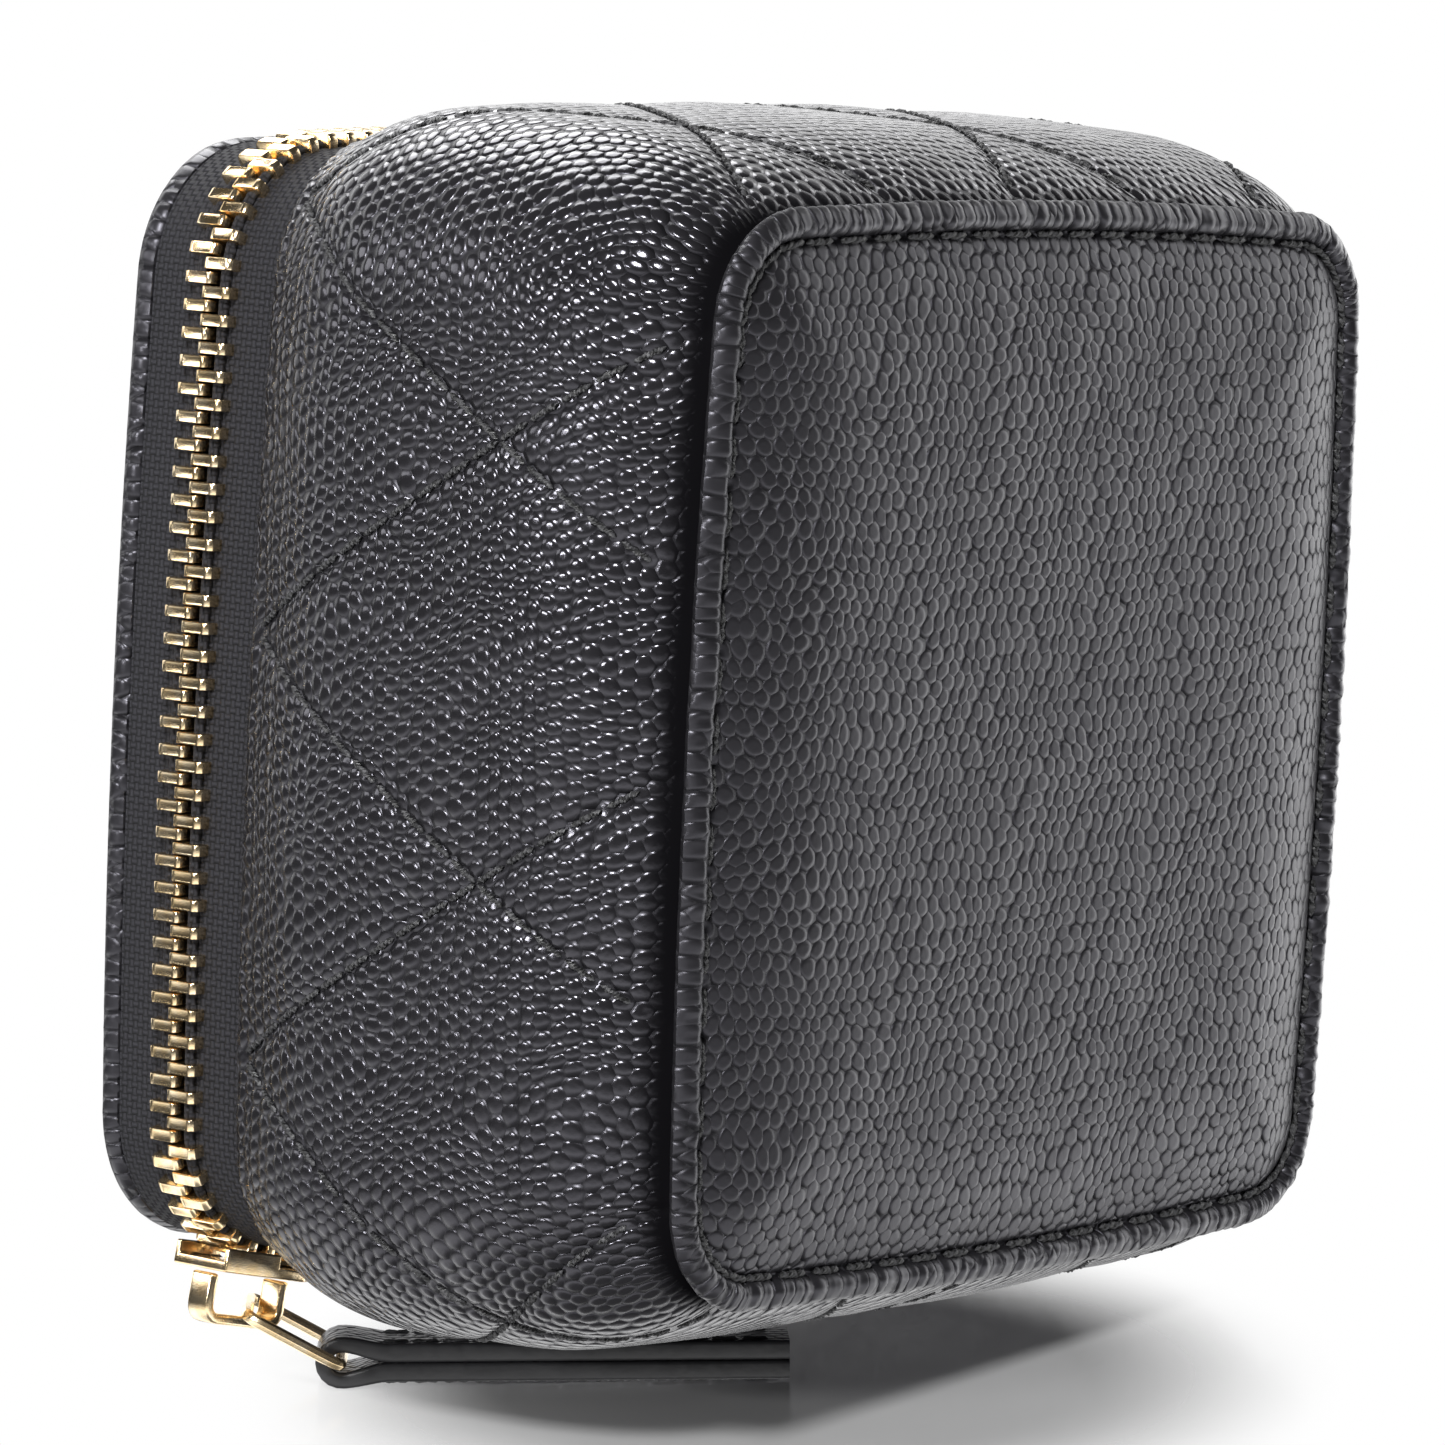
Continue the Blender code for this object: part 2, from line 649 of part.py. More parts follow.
def pull_tab(frame):
    """A strap folded round the link's outer bar, its two layers sewn flat behind the loop."""
    turns = [math.pi / 2 + math.pi * i / 8 for i in range(9)]
    outline = [(STRAP_LOOP * math.cos(turn), STRAP_LOOP * math.sin(turn)) for turn in turns]
    end = STRAP_LENGTH
    outline += [(STRAP_NECK, -STRAP_HALF), (end - STRAP_HALF / 2, -STRAP_HALF), (end, -STRAP_HALF / 2)]
    outline += [(end, STRAP_HALF / 2), (end - STRAP_HALF / 2, STRAP_HALF), (STRAP_NECK, STRAP_HALF)]
    half = STRAP_WIDTH / 2
    sides = [[Vector((x, y, z)) for x, y in outline] for z in (-half, half)]
    tab = skin("pull_tab", sides, leather("pull leather"))
    circle = [heading(math.pi / 6 * i) * (WIRE_RADIUS + GAP) for i in range(12)]
    eye = [[Vector((spot.x, spot.y, z)) for spot in circle] for z in (-2 * half, 2 * half)]
    cutter = skin("pull_tab_eye", eye, leather("eye"))
    combine(tab, cutter, "DIFFERENCE")
    tab.matrix_world = cutter.matrix_world = frame
    return tab


def build():
    """Makes every piece and hangs the moving ones on their joints."""
    for old in list(bpy.data.objects):
        bpy.data.objects.remove(old)
    base_panel()
    quilted_wall()
    body_layers()
    inside_fittings()
    lid_pieces = [*tapes(), *teeth(), stops(), lid_panel(), *lid_layers(), hinge_leaves()]
    carried(joint("lid_hinge_axis", Matrix.Translation(HINGE_AXIS)), lid_pieces)

    slider = slider_frame()
    corner, _, _ = PLAN.arc(SLIDER_AT)
    turn_axis = joint("slider_turn_axis", Matrix.Translation((corner.x, corner.y, ZIP_HEIGHT)))
    carried(turn_axis, [zip_slider(slider), slider_crown(slider)])
    pull = link_frame(slider)
    link_axis = joint("pull_link_axis", pull)
    carried(link_axis, [pull_link(pull)])
    along = pull @ Matrix.Rotation(LINK_TILT, 4, "Z") @ Vector((LINK_LENGTH, 0.0, 0.0))
    lean = Matrix.Rotation(STRAP_LEAN, 4, "Z")
    strap = Matrix.Translation(along) @ pull.to_3x3().to_4x4() @ lean
    strap_axis = joint("pull_tab_axis", strap)
    carried(strap_axis, [pull_tab(strap)])
    carried(turn_axis, [link_axis])
    carried(link_axis, [strap_axis])


build()
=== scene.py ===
"""Dresses the zip-round jewellery case: grained leather, quilting, sewn threads, woven tape and plated metal.

Metres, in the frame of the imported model: the case stands on its base at Z = 0, its front is -Y and its lid
is hinged along +Y. The photograph looks up at the base while the case lies on its back wall.
"""

import logging
import math
from collections.abc import Callable, Iterable, Iterator
from dataclasses import dataclass, field
from enum import Enum
from functools import cached_property
from typing import ClassVar

import bmesh
import bpy
from bmesh.types import BMesh, BMEdge
from bpy.types import ID, Material, Mesh, Node, NodeSocket, Object
from mathutils import Matrix, Vector, noise


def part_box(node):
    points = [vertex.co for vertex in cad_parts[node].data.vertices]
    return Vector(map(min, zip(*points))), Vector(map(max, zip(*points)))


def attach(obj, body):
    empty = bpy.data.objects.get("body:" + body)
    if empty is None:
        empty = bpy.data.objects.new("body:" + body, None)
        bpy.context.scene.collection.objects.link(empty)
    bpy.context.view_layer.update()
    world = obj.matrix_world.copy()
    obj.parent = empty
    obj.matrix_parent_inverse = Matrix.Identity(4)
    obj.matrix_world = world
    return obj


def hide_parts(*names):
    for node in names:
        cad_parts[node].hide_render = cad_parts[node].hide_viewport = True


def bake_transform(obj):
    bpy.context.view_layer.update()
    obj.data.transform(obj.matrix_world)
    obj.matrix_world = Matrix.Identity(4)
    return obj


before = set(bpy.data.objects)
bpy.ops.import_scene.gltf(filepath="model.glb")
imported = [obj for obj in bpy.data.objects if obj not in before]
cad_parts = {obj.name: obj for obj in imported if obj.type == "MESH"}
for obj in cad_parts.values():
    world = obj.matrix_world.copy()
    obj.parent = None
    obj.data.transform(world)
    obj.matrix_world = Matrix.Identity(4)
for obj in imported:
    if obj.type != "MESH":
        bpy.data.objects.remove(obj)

LOG = logging.getLogger("jewellery_case")
MM = 0.001
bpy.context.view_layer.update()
SOFTEN_OVER = math.radians(30)
Colour = tuple[float, float, float]
Pair = tuple[float, float]


class Body(str, Enum):
    """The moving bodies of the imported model."""

    CASE = "case"
    LID = "lid"
    SLIDER = "slider"
    LINK = "link"
    TAB = "tab"


class Slot(str, Enum):
    """The record's material slots."""

    LEATHER = "leather"
    TAPE = "tape"
    LINING = "lining"
    BOARD = "board"
    GOLD = "gold"


# Shader expressions


class Signal:
    """A shader socket that takes part in Python expressions."""

    def __init__(self, graph: "Graph", socket: NodeSocket) -> None:
        """Wraps one output socket of the graph."""
        self.graph = graph
        self.socket = socket

    def _math(self, operation: str, *values: "Signal | float") -> "Signal":
        """Adds one Math node.

        Args:
            operation: The Math node's operation.
            values: Its inputs, in order.

        Returns:
            The node's result.
        """
        inputs = dict(enumerate(values))
        return self.graph.node("ShaderNodeMath", {"operation": operation}, inputs)

    def __add__(self, other: "Signal | float") -> "Signal":
        """Sum."""
        return self._math("ADD", self, other)

    def __radd__(self, other: float) -> "Signal":
        """Sum with a number on the left."""
        return self._math("ADD", other, self)

    def __sub__(self, other: "Signal | float") -> "Signal":
        """Difference."""
        return self._math("SUBTRACT", self, other)

    def __rsub__(self, other: float) -> "Signal":
        """Difference from a number on the left."""
        return self._math("SUBTRACT", other, self)

    def __mul__(self, other: "Signal | float") -> "Signal":
        """Product."""
        return self._math("MULTIPLY", self, other)

    def __rmul__(self, other: float) -> "Signal":
        """Product with a number on the left."""
        return self._math("MULTIPLY", other, self)

    def __pow__(self, other: float) -> "Signal":
        """Power."""
        return self._math("POWER", self, other)

    def sine(self) -> "Signal":
        """Sine of the value in radians."""
        return self._math("SINE", self)

    def size(self) -> "Signal":
        """The value without its sign."""
        return self._math("ABSOLUTE", self)

    def floor(self) -> "Signal":
        """The whole number below the value."""
        return self._math("FLOOR", self)

    def wrapped(self, span: float) -> "Signal":
        """The remainder within a span."""
        return self._math("WRAP", self, span, 0.0)

    def step(self, low: float, high: float) -> "Signal":
        """A smooth rise from 0 at low to 1 at high."""
        settings = {"interpolation_type": "SMOOTHSTEP"}
        return self.graph.node("ShaderNodeMapRange", settings, {0: self, 1: low, 2: high})


class Graph:
    """A new material's nodes."""

    def __init__(self, name: str) -> None:
        """Makes a material with a Principled surface."""
        self.material: Material = bpy.data.materials.new(name)
        self.material.use_nodes = True
        self.tree = self.material.node_tree
        self.surface: Node = self.tree.nodes["Principled BSDF"]

    @classmethod
    def of_tree(cls, tree: bpy.types.NodeTree) -> "Graph":
        """Wraps the nodes of something other than a material."""
        graph = cls.__new__(cls)
        graph.tree = tree
        return graph

    def put(self, node: Node, inputs: dict) -> None:
        """Sets or links a node's inputs.

        Args:
            node: The node that takes them.
            inputs: Values or signals by socket name or number.
        """
        for key, value in inputs.items():
            if isinstance(value, Signal):
                self.tree.links.new(value.socket, node.inputs[key])
            else:
                node.inputs[key].default_value = value

    def node(self, kind: str, settings: dict | None = None, inputs: dict | None = None,
             output: int | str = 0) -> Signal:
        """Adds a node.

        Args:
            kind: The node's type.
            settings: Its properties, which are set first.
            inputs: Values or signals by socket name or number.
            output: The output that the result reads.

        Returns:
            That output.
        """
        made = self.tree.nodes.new(kind)
        for key, value in (settings or {}).items():
            setattr(made, key, value)
        self.put(made, inputs or {})
        return Signal(self, made.outputs[output])

    def finish(self, share: Signal, other: Signal) -> None:
        """Shows the main surface by a share, and another shader for the rest."""
        face = Signal(self, self.surface.outputs[0])
        mixed = self.node("ShaderNodeMixShader", None, {0: share, 1: other, 2: face})
        self.put(self.tree.nodes["Material Output"], {"Surface": mixed})

    def coordinates(self, scale: tuple[float, float, float], source: str = "Object") -> Signal:
        """Texture coordinates, scaled.

        Args:
            scale: Repeats per unit along each axis.
            source: The output of Texture Coordinate, Object or UV.

        Returns:
            A vector.
        """
        plain = self.node("ShaderNodeTexCoord", output=source)
        return self.node("ShaderNodeMapping", None, {"Vector": plain, "Scale": scale})

    def parts(self, vector: Signal) -> tuple[Signal, Signal, Signal]:
        """The three parts of a vector or colour."""
        first = self.node("ShaderNodeSeparateXYZ", None, {0: vector})
        x, y, z = (Signal(self, socket) for socket in first.socket.node.outputs)
        return x, y, z

    def mix(self, share: Signal, low: Colour, high: Colour) -> Signal:
        """A colour between two, by a share."""
        inputs = {0: share, 6: (*low, 1.0), 7: (*high, 1.0)}
        return self.node("ShaderNodeMix", {"data_type": "RGBA"}, inputs, 2)

    def noise(self, scale: float, detail: float = 2.0, source: Signal | None = None) -> Signal:
        """Soft noise with cells of one over scale, in metres unless a vector is given."""
        vector = source or self.coordinates((1.0, 1.0, 1.0))
        inputs = {"Vector": vector, "Scale": scale, "Detail": detail}
        return self.node("ShaderNodeTexNoise", None, inputs)

    def bump(self, height: Signal, distance: float) -> Signal:
        """A normal from a height from 0 to 1, over a real distance in metres."""
        return self.node("ShaderNodeBump", None, {"Height": height, "Distance": distance, "Strength": 1.0})


# Finishes


@dataclass(frozen=True)
class Finish:
    """A surface with one material."""

    name: str
    slot: ClassVar[Slot]

    def material(self) -> Material:
        """The finish's material, made at its first use."""
        found = bpy.data.materials.get(self.name)
        if found:
            return found
        graph = Graph(self.name)
        self.paint(graph)
        return graph.material

    def paint(self, graph: Graph) -> None:
        """Fills in the material's nodes."""
        raise NotImplementedError


@dataclass(frozen=True)
class GrainedLeather(Finish):
    """Leather with round raised pebbles in close rows and fine valleys between them.

    The pebbles lie on the piece's UV map, with so many repeats to its unit along each way. Where a seam is given,
    that many rows of pebbles at the start of the UV map fade into a dark surface without gloss: painted shade for
    the shadow where the leather tucks in under the rim.
    """

    slot = Slot.LEATHER
    repeats: Pair = (1.0, 1.0)
    pitch: float = 1.6 * MM
    top: Colour = (0.0112, 0.0108, 0.0122)
    # The valley colour is painted shade: the base colour darkens towards it in the recesses between pebbles.
    valley: Colour = (0.0071, 0.0068, 0.0077)
    gloss: float = 0.10
    dullness: float = 0.40
    height: float = 0.20 * MM
    flatness: float = 1.5
    scatter: float = 0.30
    wander: float = 1.1
    wander_scale: float = 0.13
    shake: float = 0.14
    shake_scale: float = 0.55
    spread: float = 3.3
    merging: float = 0.03
    sheen: Colour = (0.90, 0.885, 1.0)
    seam: float = 0.0

    def grid(self, graph: Graph, u: Signal, v: Signal, shift: float) -> Signal:
        """Squared distance to the nearest pebble of one of the two grids that make up the close rows.

        Args:
            graph: The material's nodes.
            u: Place along the rows, in pebbles.
            v: Place across the rows, in pebbles.
            shift: The grid's offset, in steps of the grid.

        Returns:
            The squared distance, in pebbles.
        """
        row_step = math.sqrt(3)
        across, down = u + shift, v * (1 / row_step) + shift
        column, row = across.floor(), down.floor()
        number = graph.node("ShaderNodeCombineXYZ", None, {0: column, 1: row, 2: shift})
        settings = {"noise_dimensions": "3D"}
        chance = graph.node("ShaderNodeTexWhiteNoise", settings, {"Vector": number}, "Color")
        stray_u, stray_v = graph.parts(chance)[:2]
        du = across - column - 0.5 + (stray_u - 0.5) * self.scatter
        dv = (down - row - 0.5) * row_step + (stray_v - 0.5) * self.scatter
        return du * du + dv * dv

    def paint(self, graph: Graph) -> None:
        """Pebbles in close rows that wander a little, flat on top and rounded at their edges."""
        plain = vector = graph.coordinates((*self.repeats, 1.0), "UV")
        for scale, reach in ((self.wander_scale, self.wander), (self.shake_scale, self.shake)):
            warp = graph.node("ShaderNodeTexNoise", None, {"Vector": plain, "Scale": scale, "Detail": 1.0}, 1)
            sizes = (reach * 2, reach * 2, 0.0)
            drift = graph.node("ShaderNodeVectorMath", {"operation": "MULTIPLY"}, {0: warp, 1: sizes})
            vector = graph.node("ShaderNodeVectorMath", {"operation": "ADD"}, {0: vector, 1: drift})
        u, v, _ = graph.parts(vector)
        first, second = (self.grid(graph, u, v, shift) for shift in (0.0, 0.5))
        near = graph.node("ShaderNodeMath", {"operation": "SMOOTH_MIN"}, {0: first, 1: second, 2: self.merging})
        pebble = 1.0 - (near * self.spread) ** self.flatness
        pores = graph.noise(5.0, 3.0, plain)
        patches = graph.noise(0.12, 2.0, plain).step(0.3, 0.7)
        share = pebble.step(-0.2, 0.8)
        rough = self.dullness - share * (self.dullness - self.gloss) + patches * 0.08 + pores * 0.06
        # Base colour goes from the valley colour up to the top colour with the pebble's height: painted shade in the
        # valleys.
        graph.put(graph.surface, {
            "Base Color": graph.mix(share, self.valley, self.top),
            "Roughness": rough,
            "Specular Tint": (*self.sheen, 1.0),
            "Normal": graph.bump(pebble + pores * 0.05, self.height),
        })
        # Painted shade: the first rows fade into a dark matt surface without gloss, standing in for the shadow under
        # the rim.
        if self.seam:
            painted_seam_shade = graph.node("ShaderNodeBsdfPrincipled", None, {
                "Base Color": (*self.valley, 1.0), "Roughness": 1.0, "Specular IOR Level": 0.0})
            away = (graph.parts(plain)[1] + pores * 0.5).step(self.seam * 0.6, self.seam * 1.6)
            graph.finish(away, painted_seam_shade)


@dataclass(frozen=True)
class WovenTape(Finish):
    """Plain woven tape; its UV map runs along and across it, in millimetres like the pitch of its yarns."""

    slot = Slot.TAPE
    pitch: float = 0.62
    colour: Colour = (0.0235, 0.023, 0.028)
    shadow: float = 0.06
    thickness: float = 0.26 * MM

    def paint(self, graph: Graph) -> None:
        """Threads that pass over and under each other."""
        vector = graph.coordinates((1 / self.pitch, 1 / self.pitch, 1.0), "UV")
        u, v, _ = graph.parts(vector)
        turn = (u.floor() + v.floor()).wrapped(2.0)
        warp_yarn = (u * math.pi).sine().size()
        weft_yarn = (v * math.pi).sine().size()
        height = warp_yarn * turn + weft_yarn * (1.0 - turn)
        fuzz = graph.noise(9000.0, 2.0)
        dark = tuple(share * self.shadow for share in self.colour)
        graph.put(graph.surface, {
            "Base Color": graph.mix(height * 0.8 + fuzz * 0.2, dark, self.colour),
            "Roughness": 0.72 + fuzz * 0.2,
            "Specular IOR Level": 0.3,
            "Normal": graph.bump(height * 0.8 + fuzz * 0.3, self.thickness),
        })


@dataclass(frozen=True)
class PlatedMetal(Finish):
    """Pale gold plating, polished, with faint wear."""

    slot = Slot.GOLD
    colour: Colour = (0.86, 0.65, 0.37)
    worn: Colour = (0.92, 0.76, 0.52)
    gloss: float = 0.14

    def paint(self, graph: Graph) -> None:
        """Metal whose gloss and tint vary a little."""
        broad = graph.noise(700.0, 3.0)
        fine = graph.noise(6000.0, 2.0)
        graph.put(graph.surface, {
            "Base Color": graph.mix(broad.step(0.35, 0.7), self.colour, self.worn),
            "Metallic": 1.0,
            "Roughness": self.gloss + fine * 0.12,
            "Normal": graph.bump(fine, 0.01 * MM),
        })


@dataclass(frozen=True)
class SewingThread(Finish):
    """Waxed black thread."""

    slot = Slot.TAPE
    colour: Colour = (0.045, 0.045, 0.048)
    shadow: Colour = (0.005, 0.005, 0.005)
    twist: float = 9000.0

    def paint(self, graph: Graph) -> None:
        """A twist drawn as fine slanting ridges."""
        x, y, z = graph.parts(graph.coordinates((1.0, 1.0, 1.0)))
        slant = x + y * 0.8 + z * 0.9
        ridges = (slant * self.twist).sine() * 0.5 + 0.5
        graph.put(graph.surface, {
            "Base Color": graph.mix(ridges, self.shadow, self.colour),
            "Roughness": 0.42 + ridges * 0.12,
            "Normal": graph.bump(ridges, 0.08 * MM),
        })


@dataclass(frozen=True)
class SoftLining(Finish):
    """Suede-like lining with a short nap."""

    slot = Slot.LINING
    colour: Colour = (0.035, 0.032, 0.032)
    brushed: Colour = (0.075, 0.070, 0.070)

    def paint(self, graph: Graph) -> None:
        """Nap brushed into lighter and darker patches."""
        broad = graph.noise(90.0, 3.0)
        nap = graph.noise(4000.0, 4.0)
        graph.put(graph.surface, {
            "Base Color": graph.mix(broad * 0.6 + nap * 0.4, self.colour, self.brushed),
            "Roughness": 0.82 + nap * 0.15,
            "Sheen Weight": 0.35,
            "Sheen Roughness": 0.5,
            "Normal": graph.bump(nap, 0.10 * MM),
        })


@dataclass(frozen=True)
class EdgePaint(Finish):
    """The sealed cut edge of leather."""

    slot = Slot.LEATHER
    colour: Colour = (0.010, 0.010, 0.011)
    worn: Colour = (0.022, 0.022, 0.024)

    def paint(self, graph: Graph) -> None:
        """A satin coat with slight waves."""
        waves = graph.noise(900.0, 2.0)
        graph.put(graph.surface, {
            "Base Color": graph.mix(waves, self.colour, self.worn),
            "Roughness": 0.34 + waves * 0.16,
            "Normal": graph.bump(waves, 0.05 * MM),
        })


@dataclass(frozen=True)
class GreyBoard(Finish):
    """Pressed board with fibres."""

    slot = Slot.BOARD
    colour: Colour = (0.20, 0.19, 0.17)
    fibres: Colour = (0.34, 0.33, 0.30)

    def paint(self, graph: Graph) -> None:
        """Grey with flecks."""
        fibre = graph.noise(1800.0, 5.0)
        graph.put(graph.surface, {
            "Base Color": graph.mix(fibre, self.colour, self.fibres),
            "Roughness": 0.85 + fibre * 0.1,
            "Normal": graph.bump(fibre, 0.05 * MM),
        })


# The wall's seam rows carry painted shade at its foot, where it tucks in under the base's rim.
WALL_LEATHER = GrainedLeather("wall_leather", repeats=(252.0, 33.0), valley=(0.004, 0.0038, 0.0045),
                              height=0.21 * MM, seam=1.5)
BASE_LEATHER = GrainedLeather("base_leather", gloss=0.30, dullness=0.5, height=0.18 * MM, flatness=2.9, scatter=0.34,
                              shake=0.2)
LID_LEATHER = GrainedLeather("lid_leather", gloss=0.26, flatness=2.4, scatter=0.34, shake=0.2)
STRAP_LEATHER = GrainedLeather("strap_leather", pitch=1.3 * MM, gloss=0.3, height=0.14 * MM)
HINGE_LEATHER = GrainedLeather("hinge_leather", repeats=(37.0, 18.0), gloss=0.3)
THREAD = SewingThread("black_thread")
TAPE = WovenTape("zip_tape_weave")
GOLD = PlatedMetal("pale_gold")
LINING = SoftLining("soft_lining")
EDGE = EdgePaint("edge_paint")
BOARD = GreyBoard("grey_board")


# Geometry helpers


def heading(angle: float) -> Vector:
    """The unit vector in the plan that points along an angle."""
    return Vector((math.cos(angle), math.sin(angle), 0.0))


@dataclass(frozen=True)
class Route:
    """The zip's plan: bowed sides and round corners, run clockwise from the middle of the -X side."""

    half: float = 51.5 * MM
    corner: float = 13.0 * MM
    side: float = 800.0 * MM

    @cached_property
    def corner_centre(self) -> float:
        """How far the corner arcs' centres stand from the middle, along X and along Y."""
        reach, span = self.side - self.half, self.side - self.corner
        return (math.sqrt(2 * span * span - reach * reach) - reach) / 2

    @cached_property
    def half_turn(self) -> float:
        """Half the angle that a side turns through."""
        return math.atan2(self.corner_centre, self.corner_centre + self.side - self.half)

    @cached_property
    def side_length(self) -> float:
        """Length of one side."""
        return 2 * self.side * self.half_turn

    @cached_property
    def quarter(self) -> float:
        """Length of one side and one corner."""
        return self.side_length + self.corner * (math.pi / 2 - 2 * self.half_turn)

    @cached_property
    def length(self) -> float:
        """Length right round."""
        return 4 * self.quarter

    def arc(self, s: float) -> tuple[Vector, float, float]:
        """The arc at a distance along the route.

        Args:
            s: Distance from the middle of the -X side.

        Returns:
            The arc's centre, its radius and the way the route faces there.
        """
        turn, rest = divmod(s + self.side_length / 2, self.quarter)
        facing = math.pi - turn * math.pi / 2
        if rest <= self.side_length:
            centre = heading(facing) * (self.half - self.side)
            return centre, self.side, facing + self.half_turn - rest / self.side
        centre = heading(facing - math.pi / 4) * (self.corner_centre * math.sqrt(2))
        return centre, self.corner, facing - self.half_turn - (rest - self.side_length) / self.corner

    def point(self, s: float, offset: float, z: float) -> Vector:
        """The point at s, moved outwards by an offset, at a height."""
        centre, radius, angle = self.arc(s)
        return centre + heading(angle) * (radius + offset) + Vector((0.0, 0.0, z))

    def beside(self, offset: float) -> "Route":
        """The same plan, moved outwards."""
        return Route(self.half + offset, self.corner + offset, self.side + offset)

    def matching(self, other: "Route", s: float) -> float:
        """The place on this route that lies beside a place on another.

        Args:
            other: A route of the same shape, further in or out.
            s: Distance along the other route.

        Returns:
            Distance along this one.
        """
        turn, rest = divmod(s + other.side_length / 2, other.quarter)
        past = max(0.0, rest - other.side_length)
        own_corner, other_corner = self.quarter - self.side_length, other.quarter - other.side_length
        own = (rest - past) * self.side_length / other.side_length + past * own_corner / other_corner
        return turn * self.quarter + own - self.side_length / 2

    def stand(self, s: float, offset: float, z: float) -> Matrix:
        """A frame on the route: X along it, Y outwards and Z up."""
        _, _, angle = self.arc(s)
        return Matrix.Translation(self.point(s, offset, z)) @ Matrix.Rotation(angle - math.pi / 2, 4, "Z")


ROUTE = Route()
BACK = ROUTE.quarter


def sheet(columns: int, rows: int, place: Callable[[float, float], Vector]) -> BMesh:
    """A grid with a UV map, each point moved to its place and the meeting edges joined.

    Args:
        columns: Faces along the grid's first direction.
        rows: Faces along its second.
        place: Gives a point's place from its two shares, each from 0 to 1.

    Returns:
        The new mesh.
    """
    bm = bmesh.new()
    bm.loops.layers.uv.new("UVMap")
    bmesh.ops.create_grid(bm, x_segments=columns, y_segments=rows, size=0.5, calc_uvs=True)
    for vert in bm.verts:
        vert.co = place(vert.co.x + 0.5, vert.co.y + 0.5)
    bmesh.ops.remove_doubles(bm, verts=bm.verts, dist=1e-7)
    return bm


def close_ends(bm: BMesh) -> None:
    """Fills every open end of a mesh."""
    rims = [edge for edge in bm.edges if edge.is_boundary]
    bmesh.ops.holes_fill(bm, edges=rims, sides=0)


def lay_lengths(bm: BMesh, along: float, loop: list[Pair], unit: float) -> None:
    """Gives a sheet's UV map real lengths, along the sheet and round its section.

    Args:
        bm: The sheet, its UV map still in shares.
        along: The sheet's length.
        loop: The section's corners, with the first again at the end.
        unit: The length that counts as 1.
    """
    reach = [0.0]
    for first, second in zip(loop, loop[1:]):
        reach.append(reach[-1] + math.dist(first, second))
    layer = bm.loops.layers.uv.active
    for face in bm.faces:
        for corner in face.loops:
            u, v = corner[layer].uv
            corner[layer].uv = (u * along / unit, reach[round(v * (len(loop) - 1))] / unit)


def section_sheet(columns: int, section: list[Pair], span: Pair) -> BMesh:
    """A closed section of (offset, z) points carried along a stretch of the route.

    Args:
        columns: Faces along the stretch.
        section: The section's corners in order.
        span: Where the stretch starts and ends.

    Returns:
        A mesh with closed ends, or a closed ring where the stretch is the whole route.
    """
    start, end = span
    loop = [*section, section[0]]

    def place(u: float, v: float) -> Vector:
        """A corner of the section at its place along the stretch."""
        offset, z = loop[round(v * len(section))]
        return ROUTE.point(start + (end - start) * u, offset, z)

    bm = sheet(columns, len(section), place)
    lay_lengths(bm, end - start, loop, MM)
    close_ends(bm)
    return bm


def rounded(section: Iterable[Pair], radius: float, steps: int = 3) -> list[Pair]:
    """A section with its corners rounded.

    Args:
        section: Corners in order.
        radius: How far back each corner is cut.
        steps: Points per corner.

    Returns:
        The new section.
    """
    corners = [Vector(corner) for corner in section]
    made = []
    for i, corner in enumerate(corners):
        before = (corners[i - 1] - corner).normalized() * radius
        after = (corners[(i + 1) % len(corners)] - corner).normalized() * radius
        for k in range(steps):
            t = k / (steps - 1)
            spot = corner + before * (1 - t) ** 2 + after * t**2
            made.append((spot.x, spot.y))
    return made


def soften(bm: BMesh, radius: float, segments: int = 2) -> None:
    """Rounds the sharp edges of a mesh."""
    sharp = [edge for edge in bm.edges if len(edge.link_faces) == 2 and edge.calc_face_angle(0.0) > SOFTEN_OVER]
    bmesh.ops.bevel(bm, geom=sharp, offset=radius, segments=segments, profile=0.5, affect="EDGES",
                    clamp_overlap=True, material=-1)


def softened_copy(node: str, radius: float, segments: int = 2) -> BMesh:
    """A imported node's shape with its edges rounded.

    Args:
        node: The node's name.
        radius: Radius of the rounding.
        segments: Steps of the rounding.

    Returns:
        A new mesh.
    """
    bm = bmesh.new()
    bm.from_mesh(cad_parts[node].data)
    bmesh.ops.remove_doubles(bm, verts=bm.verts, dist=1e-6)
    bmesh.ops.dissolve_limit(bm, angle_limit=math.radians(4), verts=bm.verts, edges=bm.edges)
    soften(bm, radius, segments)
    return bm


def mesh_of(name: str, bm: BMesh) -> Mesh:
    """Keeps a shape as a mesh, and uses the shape up."""
    mesh = bpy.data.meshes.new(name)
    bm.to_mesh(mesh)
    bm.free()
    return mesh


def axes(x: Vector, y: Vector, z: Vector) -> Matrix:
    """The turn that takes the three axes to these directions."""
    return Matrix((x, y, z)).transposed().to_4x4()


def add_object(name: str, data: ID, place: Matrix | None = None) -> Object:
    """Puts an object into the scene.

    Args:
        name: The object's name.
        data: Its mesh, light or camera.
        place: Where it stands, which is the origin unless it is given.

    Returns:
        The object.
    """
    made = bpy.data.objects.new(name, data)
    if place:
        made.matrix_world = place
    bpy.context.scene.collection.objects.link(made)
    return made


def piece(name: str, bm: BMesh, finish: Finish, sharp: float = 45.0) -> Object:
    """Makes an object at the origin from a mesh.

    Args:
        name: The object's name.
        bm: Its shape, which is used up.
        finish: Its finish.
        sharp: Edges over this angle, in degrees, stay sharp.

    Returns:
        The object.
    """
    bmesh.ops.recalc_face_normals(bm, faces=bm.faces)
    mesh = mesh_of(name, bm)
    mesh.materials.append(finish.material())
    mesh.shade_smooth()
    mesh.set_sharp_from_angle(angle=math.radians(sharp))
    return add_object(name, mesh)


